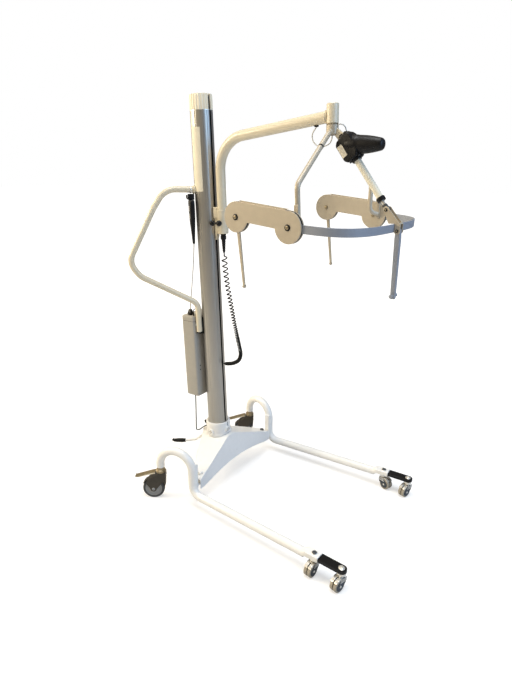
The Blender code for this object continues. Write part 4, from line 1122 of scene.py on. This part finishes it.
def build_handset():
    at = handle_frame(-1)
    on_handset = carrier(ROOT, at)
    hook = fillet([(0.08, 0, 1.286), (0.08, 0, 1.274), (0.0745, 0, 1.269), (0.056, 0, 1.269)], 0.003, 4)
    on_handset("handset_strap", flat_bar(hook, 0.016, 0.004, (0, 1, 0)), BLACK, "handset_hook")
    centre = 0.0625
    clip = prism(rounded(0.0125, 0.0095, 0.003), 1.2664, 1.29)
    on_handset("handset_clip", moved(clip, shift(centre, 0, 0)), BLACK, bevel=0.0012)
    levels = [
        (1.088, 0.0044, 0.004),
        (1.09, 0.0052, 0.0048),
        (1.11, 0.0066, 0.0058),
        (1.14, 0.0098, 0.0074),
        (1.165, 0.0138, 0.0088),
        (1.195, 0.0192, 0.0098),
        (1.225, 0.0225, 0.01),
        (1.25, 0.0235, 0.01),
        (1.26, 0.0228, 0.0098),
        (1.2648, 0.02, 0.0086),
        (1.266, 0.017, 0.007),
    ]
    rings = [
        [(centre + x, y, z) for x, y in rounded(depth, wide, depth * 0.48, 5)]
        for z, wide, depth in levels
    ]
    on_handset("handset_shell", loft(rings), BLACK, "handset", sharp=60)
    for number, z in enumerate((1.232, 1.202)):
        bezel = prism(rounded(0.0098, 0.0124, 0.003), -0.0006, 0.0006)
        bezel = aimed(bezel, (1, 0, 0), (centre + 0.01, 0, z))
        on_handset(f"handset_bezel_{number}", bezel, TYRE)
        key = loft(
            [
                [(x * k, y * k, h) for x, y in rounded(0.008, 0.0105, 0.0026)]
                for h, k in ((-0.0018, 1), (0.001, 1), (0.0016, 0.86))
            ]
        )
        key = aimed(key, (1, 0, 0), (centre + 0.01, 0, z))
        put(
            f"handset_button_{number}", key, KEY, f"handset_key_{number + 1}", at,
            (f"handset_key_{number + 1}",),
        )
    for number, z in enumerate((1.186, 1.178, 1.17)):
        rib = box((centre + 0.007, -0.009, z), (centre + 0.0099, 0.009, z + 0.003))
        on_handset(f"handset_rib_{number}", rib, BLACK)


# ---------------------------------------------------------------- boom


def boom_path(steps=24):
    slope = math.tan(math.radians(5.4))
    knee = Vector((BOOM_X, 0, 1.488))
    end = Vector((HUB_X - TEE_R + 0.004, 0, knee.z + slope * (HUB_X - TEE_R - BOOM_X)))
    return fillet([(BOOM_X, 0, SOCKET_LOW + 0.012), knee, end], 0.125, steps)


def build_knob():
    """The clamp handle of the carriage, with its two balls."""
    stem = aimed(lathe([(0.0045, 0.0232), (0.0045, 0.034)], 24), (0, -1, 0), (KNOB_X, 0, KNOB_Z))
    on_knob("knob_stem", stem, BLACK, "clamp_handle")
    profile = [(0.003, -0.0285)]
    for a in range(15, 150, 15):
        profile.append((0.0115 * math.sin(math.radians(a)), -0.0172 - 0.0115 * math.cos(math.radians(a))))
    profile.append((0.005, -0.0062))
    profile = mirrored(profile)
    on_knob("knob_balls", aimed(lathe(profile, 36), (1, 0, 0), (KNOB_X, -0.0345, KNOB_Z)), BLACK)


def boom_gland():
    gland = [
        (0.0036, 1.052), (0.005, 1.0524), (0.0085, 1.105), (0.012, 1.1075), (0.012, 1.12), (0.0105, 1.1212),
    ]
    gland += [(0.0105, 1.1235), (0.012, 1.1247), (0.012, 1.1416)]
    on_boom("gland_body", moved(lathe(gland), shift(BOOM_X, 0, 0)), BLACK, "boom_gland")
    for number in range(6):
        z = 1.061 + number * 0.007
        size = 0.0054 + (z - 1.052) * 0.066
        on_boom(f"gland_ring_{number}", moved(bead(size, 0.0008, 28), shift(BOOM_X, 0, z)), BLACK)


def build_boom():
    upper = box((0.0475, -0.016, 1.192), (0.068, 0.016, 1.236))
    on_boom("carriage_block", upper, CREAM, "carriage", bevel=0.002)
    fin = prism(
        [(0.0475, 1.2), (0.0475, 1.104), (0.0515, 1.104), (0.066, 1.165), (0.066, 1.2)], -0.01, 0.01, "Y",
    )
    on_boom("carriage_fin", fin, CREAM, bevel=0.0018)
    on_boom("carriage_tongue", box((0.0396, -0.0034, 1.11), (0.049, 0.0034, 1.23)), BRIGHT, bevel=0.0006)
    socket = [
        (BOOM_R + 0.0004, SOCKET_LOW), (SOCKET_R - 0.001, SOCKET_LOW), (SOCKET_R, SOCKET_LOW + 0.001),
        (SOCKET_R, SOCKET_TOP - 0.006),
    ]
    socket += [
        (SOCKET_R + 0.001, SOCKET_TOP - 0.0055), (SOCKET_R + 0.001, SOCKET_TOP - 0.001),
        (SOCKET_R, SOCKET_TOP), (BOOM_R + 0.0004, SOCKET_TOP),
    ]
    on_boom("carriage_socket", moved(ring_lathe(socket, 56), shift(BOOM_X, 0, 0)), CREAM)
    on_boom("boom_pipe", tube(boom_path(), BOOM_R, 40), CREAM, "boom_tube")
    direction = boom_path()[-1] - boom_path()[-2]
    rim = boom_path()[-1] - direction.normalized() * 0.0062
    on_boom("boom_weld", aimed(bead(BOOM_R + 0.0004, 0.002), direction, rim), CREAM)
    tee = [
        (TEE_R - 0.001, TEE_LOW), (TEE_R, TEE_LOW + 0.001), (TEE_R, TEE_TOP - 0.0025),
        (TEE_R - 0.0025, TEE_TOP),
    ]
    on_boom("tee_pipe", moved(lathe(tee, 48), shift(HUB_X, 0, 0)), CREAM, "boom_tee")
    boom_gland()
    grommet = lathe([(0.0075, 0.0), (0.0085, 0.0012), (0.007, 0.0042), (0.004, 0.005)])
    on_boom("boom_grommet", aimed(grommet, (0.08, 0, -1), (HUB_X - 0.0608, 0, 1.5088)), RUBBER)
    build_knob()


# ---------------------------------------------------------------- cradle


def build_hub():
    column = [
        (0.0165, HUB_LOW), (0.0182, HUB_LOW + 0.0004), (0.0205, HUB_LOW + 0.003), (0.0205, 1.506),
        (0.0192, 1.5072), (0.0192, TEE_LOW - 0.0006),
    ]
    on_cradle("hub_pipe", lathe(column, 48), CRADLE, "swivel_hub")
    on_cradle("hub_ring", moved(bead(0.0196, 0.0012, 48), shift(0, 0, 1.5085)), BRASSY)
    cap = lathe([(0.009, HUB_LOW - 0.0002), (0.009, HUB_LOW + 0.003)])
    on_cradle("hub_grommet", cap, RUBBER)
    x, z = LUG_PIN
    lug = [
        (0.012, 1.501), (0.012, 1.476), (x - 0.006, z - 0.0105),
    ] + arc(0.0112, -70, 70, 10, LUG_PIN) + [(x + 0.002, z + 0.012)]
    on_cradle("hub_lug", prism(lug, -0.005, 0.005, "Y"), CREAM, bevel=0.0012)


def yoke_path(s):
    corners = [
        (0.0015, s * 0.015, 1.487),
        (0.0275, s * 0.244, 1.32),
        (0.0262, s * 0.238, 1.212),
        (0.044, s * (PLATE_IN - 0.006), 1.199),
    ]
    return fillet(corners, 0.028, 10)


def plate_outline(grow=0.0):
    """Outline of a side plate: a round end at each bolt and a band between them."""
    (x0, z0), (x1, z1) = REAR_BOLT, FRONT_BOLT
    length = math.hypot(x1 - x0, z1 - z0)
    tilt = math.atan2(z1 - z0, x1 - x0)
    radius = DISC_R + grow
    low = math.degrees(math.asin((0.011 + grow) / radius))
    rear = arc(radius, -low, -270, 44)
    front = arc(radius, 90, -180 + low, 44, (length, 0.0))
    cos, sin = math.cos(tilt), math.sin(tilt)
    return [(x0 + a * cos - b * sin, z0 + a * sin + b * cos) for a, b in rear + front]


def build_side_plates():
    for name, s in SIDES:
        skins = (("outer", PLATE_OUT - 0.0048, PLATE_OUT), ("inner", PLATE_IN, PLATE_IN + 0.0048))
        for tag, low, high in skins:
            nodes = (f"side_plate_{name}",) if tag == "outer" else ()
            plate = slab(plate_outline(), s, low, high)
            on_cradle(f"plate_{tag}_{name}", plate, CRADLE, *nodes, bevel=0.0012, steps=3, sharp=50)
        spacer = slab(bridge_outline(), s, PLATE_IN + 0.004, PLATE_OUT - 0.004)
        on_cradle(f"plate_spacer_{name}", spacer, CRADLE)
        strip = slab(
            [(0.036, 1.182), (0.052, 1.182), (0.052, 1.262), (0.036, 1.262)], s, PLATE_IN - 0.005,
            PLATE_IN + 0.001,
        )
        on_cradle(f"plate_strip_{name}", strip, CRADLE, bevel=0.0014)
        pipe = tube(yoke_path(s), 0.0088, 28)
        on_cradle(f"yoke_pipe_{name}", pipe, CRADLE, f"yoke_{name}")
        path = yoke_path(s)
        ahead = (path[1] - path[0]).normalized()
        ring = lathe([(0.0089, -0.003), (0.0095, -0.0022), (0.0095, 0.0022), (0.0089, 0.003)])
        on_cradle(f"yoke_ring_{name}", aimed(ring, ahead, path[0] + ahead * 0.088), RUBBER)
        on_cradle(
            f"yoke_weld_{name}", aimed(bead(0.0092, 0.002, 32), ahead, path[0] + ahead * 0.0075), CREAM,
        )
        foot = path[-1] - path[-2]
        on_cradle(f"yoke_foot_weld_{name}", aimed(bead(0.0088, 0.0016, 32), foot, path[-1]), CRADLE)


def bridge_outline():
    """The spacer between a pair of plates: the middle of the band, clear of both discs."""
    (x0, z0), (x1, z1) = REAR_BOLT, FRONT_BOLT
    length = math.hypot(x1 - x0, z1 - z0)
    tilt = math.atan2(z1 - z0, x1 - x0)
    hole = DISC_R + 0.0042
    low, high = -0.009, 0.055
    left = arc(hole, math.degrees(math.asin(high / hole)), math.degrees(math.asin(low / hole)), 14)
    right = [(length - a, b) for a, b in reversed(left)]
    cos, sin = math.cos(tilt), math.sin(tilt)
    return [(x0 + a * cos - b * sin, z0 + a * sin + b * cos) for a, b in left + right]


def spindle(tag, name, bolt, s, body, node):
    """A black disc held between the plates, with its washer and cap nut outside."""
    x, z = bolt
    on_spindle = carrier(body, SWIVEL)
    out = DISC_MID + DISC_HALF
    rim = DISC_R - 0.0004
    disc = [
        (rim - 0.001, DISC_MID - DISC_HALF), (rim, DISC_MID - DISC_HALF + 0.001), (rim, out - 0.001),
        (rim - 0.001, out),
    ]
    place = along((0, s, 0), (x, 0, z))
    on_spindle(f"{tag}_disc_{name}", moved(lathe(disc, 56), place), BLACK_PAINT, node)
    washer = moved(
        lathe([(0.0105, 0), (0.0105, 0.0014), (0.0094, 0.0022)]), place @ shift(0, 0, PLATE_OUT + 0.0002),
    )
    on_spindle(f"{tag}_washer_{name}", washer, BLACK)
    nut = [(0.0062, 0.0), (0.0062, 0.0012), (0.0052, 0.0024), (0.0032, 0.003), (0.0026, 0.0022)]
    on_spindle(f"{tag}_nut_{name}", moved(lathe(nut), place @ shift(0, 0, PLATE_OUT + 0.002)), BRASSY)
    back = aimed(hex_head(0.008, 0.0036), (0, -s, 0), (x, s * (PLATE_IN - 0.0001), z))
    on_cradle(f"{tag}_back_{name}", back, BRASSY)


def build_rear_arms():
    lean = math.radians(5.2)
    down = Vector((math.sin(lean), 0, -math.cos(lean)))
    side = Vector((math.cos(lean), 0, math.sin(lean)))
    for name, s in SIDES:
        body = f"rear_arm_{name}"
        on_arm = carrier(body, SWIVEL)
        spindle("rear", name, REAR_BOLT, s, body, body)
        hub = Vector((REAR_BOLT[0], s * DISC_MID, REAR_BOLT[1]))
        start, end = hub + down * (DISC_R - 0.012), hub + down * ARM_REACH
        rings = []
        for point, wide, deep in (
            (start, 0.0068, 0.0032), (start.lerp(end, 0.6), 0.0054, 0.0031), (end, 0.0046, 0.003),
        ):
            rings.append([point + side * x + Vector((0, y, 0)) for x, y in rounded(wide, deep, 0.0014, 3)])
        on_arm(f"arm_bar_{name}", loft(rings), CRADLE)
        tip = [(0.0036, -0.0066), (0.0048, -0.006), (0.0048, -0.005), (0.0034, -0.0038), (0.0034, 0.0038)]
        tip += [(0.0048, 0.005), (0.0048, 0.006), (0.0036, 0.0066)]
        on_arm(f"arm_stud_{name}", aimed(lathe(tip, 28), (0, 1, 0), end - down * 0.006), CRADLE)


def bar_path(count=72):
    """The U-bar's centre line: a squared half ellipse between the two front bolts."""
    points = []
    for i in range(count + 1):
        t = math.pi * (i / count - 0.5)
        across = DISC_MID * math.copysign(abs(math.sin(t)) ** (2 / BAR_SQUARE), math.sin(t))
        reach = BAR_REACH * abs(math.cos(t)) ** (2 / BAR_SQUARE)
        drop = FRONT_BOLT[1] - reach * math.sin(BAR_DROP)
        points.append(Vector((FRONT_BOLT[0] + reach * math.cos(BAR_DROP), across, drop)))
    clear = DISC_R - 0.0008
    inside = [p for p in points if math.hypot(p.x - FRONT_BOLT[0], p.z - FRONT_BOLT[1]) > clear + 0.006]
    first, last = inside[0].copy(), inside[-1].copy()
    for end in (first, last):
        end.x = FRONT_BOLT[0] + clear * math.cos(BAR_DROP)
        end.z = FRONT_BOLT[1] - clear * math.sin(BAR_DROP)
        end.y = math.copysign(DISC_MID, end.y)
    return [first] + inside + [last]


def build_bar():
    up = (math.sin(BAR_DROP), 0, math.cos(BAR_DROP))
    # The U-bar is drawn in the darker, bluer copy of the cradle paint: painted shade.
    on_tilt("bar_strip", flat_bar(bar_path(), BAR_H, BAR_T, up), PAINTED_SHADE_GREY, "cradle_bar")
    for name, s in SIDES:
        spindle("front", name, FRONT_BOLT, s, "cradle_tilt", f"front_disc_{name}")
    tip_x = FRONT_BOLT[0] + BAR_REACH * math.cos(BAR_DROP)
    tip_z = FRONT_BOLT[1] - BAR_REACH * math.sin(BAR_DROP)
    over, front = tip_z + BAR_H / 2 + 0.0004, tip_x + BAR_T / 2 + 0.0006
    x, z = CLEVIS_PIN
    cheek = [(x - 0.01, z + 0.002)] + arc(0.0112, 150, 20, 9, CLEVIS_PIN) + [(front + 0.02, over - 0.002)]
    cheek += arc(0.0112, 25, -150, 12, ARM_PIN) + [
        (front, ARM_PIN[1] - 0.002), (front, over), (front - 0.022, over),
    ]
    for number, s in enumerate((-1, 1)):
        plate = slab(cheek, s, 0.0086, 0.0125)
        nodes = ("clevis_bracket",) if number == 0 else ()
        on_tilt(f"clevis_cheek_{number}", plate, CRADLE, *nodes, bevel=0.0008)
        for tag, (px, pz) in (("top", CLEVIS_PIN), ("low", ARM_PIN)):
            head = aimed(bolt_head(0.0056, 0.0032), (0, s, 0), (px, s * 0.0124, pz))
            on_tilt(f"clevis_bolt_{tag}_{number}", head, BLACK)
            cap = aimed(bolt_head(0.003, 0.0014, 20), (0, s, 0), (px, s * 0.0152, pz))
            on_tilt(f"clevis_cap_{tag}_{number}", cap, BRASSY)
    saddle = prism(
        [
            (front - 0.022, over), (front + 0.02, over), (front + 0.018, over + 0.0032),
            (front - 0.024, over + 0.0032),
        ],
        -0.009, 0.009, "Y",
    )
    on_tilt("clevis_saddle", saddle, CRADLE)
    plate = prism(
        [
            (front, ARM_PIN[1] + 0.0125), (front, over + 0.002), (front + 0.0035, over + 0.002),
            (front + 0.0035, ARM_PIN[1] + 0.0125),
        ],
        -0.009, 0.009, "Y",
    )
    on_tilt("clevis_front", plate, RUBBER)
    spacer = prism(circle(0.005, 24, ARM_PIN), -0.009, -0.0078, "Y")
    on_tilt("clevis_spacer", spacer, RUBBER)


def build_front_arm():
    x, z = ARM_PIN
    lean = math.radians(-1.6)
    down = Vector((math.sin(lean), 0, -math.cos(lean)))
    side = Vector((math.cos(lean), 0, math.sin(lean)))
    start = Vector((x, 0, z)) - down * 0.006
    end = Vector((x, 0, z)) + down * 0.226
    spots = (
        (start, 0.006, 0.0072), (start + down * 0.004, 0.0078, 0.0075),
        (start + down * 0.03, 0.0095, 0.0075), (end - down * 0.002, 0.008, 0.007), (end, 0.0072, 0.0062),
    )
    rings = [
        [p + side * a + Vector((0, b, 0)) for a, b in rounded(wide, deep, 0.002, 4)]
        for p, wide, deep in spots
    ]
    # The front arm and its stud are drawn in the darker, bluer copy of the cradle paint: painted shade.
    on_hook("hook_bar", loft(rings), PAINTED_SHADE_GREY, "front_arm")
    stud = [
        (0.005, -0.021), (0.0068, -0.02), (0.0068, -0.0182), (0.004, -0.015), (0.004, 0.015),
        (0.0068, 0.0182),
    ]
    stud += [(0.0068, 0.02), (0.005, 0.021)]
    on_hook("hook_stud", aimed(lathe(stud, 28), (0, 1, 0), end - down * 0.01), PAINTED_SHADE_GREY)
    plug = [
        [end + down * h + side * a + Vector((0, b, 0)) for a, b in rounded(w, w - 0.001, 0.0015, 4)]
        for h, w in ((-0.001, 0.007), (0.0012, 0.0062))
    ]
    on_hook("hook_plug", loft(plug), RUBBER)


def actuator_frame():
    """Z runs from the lug pin down to the clevis pin; X is the actuator's upper, outer side."""
    x, z = LUG_PIN
    ahead = Vector((CLEVIS_PIN[0] - x, 0, CLEVIS_PIN[1] - z)).normalized()
    across = Vector((0, -1, 0))
    turn = Matrix((across.cross(ahead), across, ahead)).transposed().to_4x4()
    return SWIVEL @ shift(x, 0, z) @ turn


def actuator_tube(on_drive, on_rod):
    """The sleeve with its black collar, and the rod with its eye."""
    length = math.hypot(CLEVIS_PIN[0] - LUG_PIN[0], CLEVIS_PIN[1] - LUG_PIN[1])
    sleeve = [(0.0062, 0.0865), (0.0116, 0.0865), (0.0116, 0.24), (0.0062, 0.24)]
    # The sleeve is bright metal; its near-white cream colour is a painted highlight.
    on_drive("actuator_pipe", ring_lathe(sleeve, 44), PAINTED_HIGHLIGHT_TUBE, "actuator_tube")
    end = [
        (0.0062, 0.239), (0.0136, 0.239), (0.0146, 0.2402), (0.0146, 0.2516), (0.0134, 0.253),
        (0.0062, 0.253),
    ]
    on_drive("actuator_collar", ring_lathe(end, 44), BLACK)
    rod = lathe([(0.0058, 0.16), (0.0058, length - 0.014)], 32)
    on_rod("rod_shaft", rod, BRIGHT, "actuator_rod")
    eye = [(-0.0068, length - 0.02), (0.0068, length - 0.02)] + arc(0.008, -10, 190, 14, (0, length - 0.001))
    on_rod("rod_eye", prism(eye, -0.0065, 0.0065, "Y"), TYRE, bevel=0.0008)


def motor_shell():
    motor = [
        (0.0305, -0.006), (0.0312, 0.004), (0.0312, 0.026), (0.0304, 0.03), (0.03, 0.031), (0.0292, 0.044),
    ]
    motor += [
        (0.028, 0.062), (0.025, 0.084), (0.0225, 0.098), (0.0205, 0.108), (0.0186, 0.1145), (0.015, 0.1185),
        (0.009, 0.12),
    ]
    carrier("actuator", SWIVEL)(
        "motor_shell", aimed(lathe(motor, 56), (0.9985, 0, -0.043), (0.07, 0, 1.44)), BLACK,
    )


def build_actuator():
    at = actuator_frame()
    on_drive, on_rod = carrier("actuator", at), carrier("actuator_rod", at)
    outline = [(-0.02, 0.006), (-0.029, 0.016), (-0.029, 0.074), (-0.02, 0.086)]
    outline += [(0.016, 0.086), (0.029, 0.072), (0.033, 0.042), (0.033, 0.012), (0.026, -0.004)]
    on_drive(
        "drive_housing", prism(outline, -0.0295, 0.0295, "Y"), BLACK, "actuator_housing", bevel=0.0045,
        steps=4, sharp=20,
    )
    rim = [(x + 0.0002, z) for x, z in outline]
    on_drive("drive_seam", prism(rim, -0.0012, 0.0012, "Y"), RUBBER)
    ears = [(-0.009, 0.03), (-0.011, 0.002)] + arc(0.011, 185, 355, 12) + [(0.016, 0.03)]
    for number, s in enumerate((-1, 1)):
        on_drive(f"drive_ear_{number}", slab(ears, s, 0.0058, 0.0128), BLACK, bevel=0.0012)
        on_drive(f"drive_pin_{number}", aimed(bolt_head(0.0058, 0.003), (0, s, 0), (0, s * 0.0126, 0)), TYRE)
    motor_shell()
    label = rounded(0.01, 0.021, 0.0022, 4)
    tag = moved(
        prism(label, 0.0, 0.0006), shift(-0.0165, 0.0292, 0.044) @ Matrix.Rotation(-math.pi / 2, 4, "X"),
    )
    on_drive("drive_label", tag, LABEL)
    collar = [(0.0118, 0.082), (0.0175, 0.082), (0.0175, 0.0905), (0.0155, 0.094), (0.0118, 0.094)]
    on_drive("drive_collar", ring_lathe(collar, 40), BLACK)
    for number, (x, y) in enumerate(
        ((0.0185, 0.012), (0.0185, -0.012), (-0.0185, 0.012), (-0.0185, -0.012))
    ):
        on_drive(f"drive_screw_{number}", moved(bolt_head(0.0036, 0.003, 18), shift(x, y, 0.0858)), TYRE)
    actuator_tube(on_drive, on_rod)


def main():
    build_camera()
    build_cords()
    build_studio()
    build_base()
    build_pedals()
    build_legs()
    build_rear_castors()
    build_twin_castors()
    build_mast()
    build_handles()
    build_box()
    build_handset()
    build_boom()
    build_hub()
    build_side_plates()
    build_rear_arms()
    build_bar()
    build_front_arm()
    build_actuator()


main()
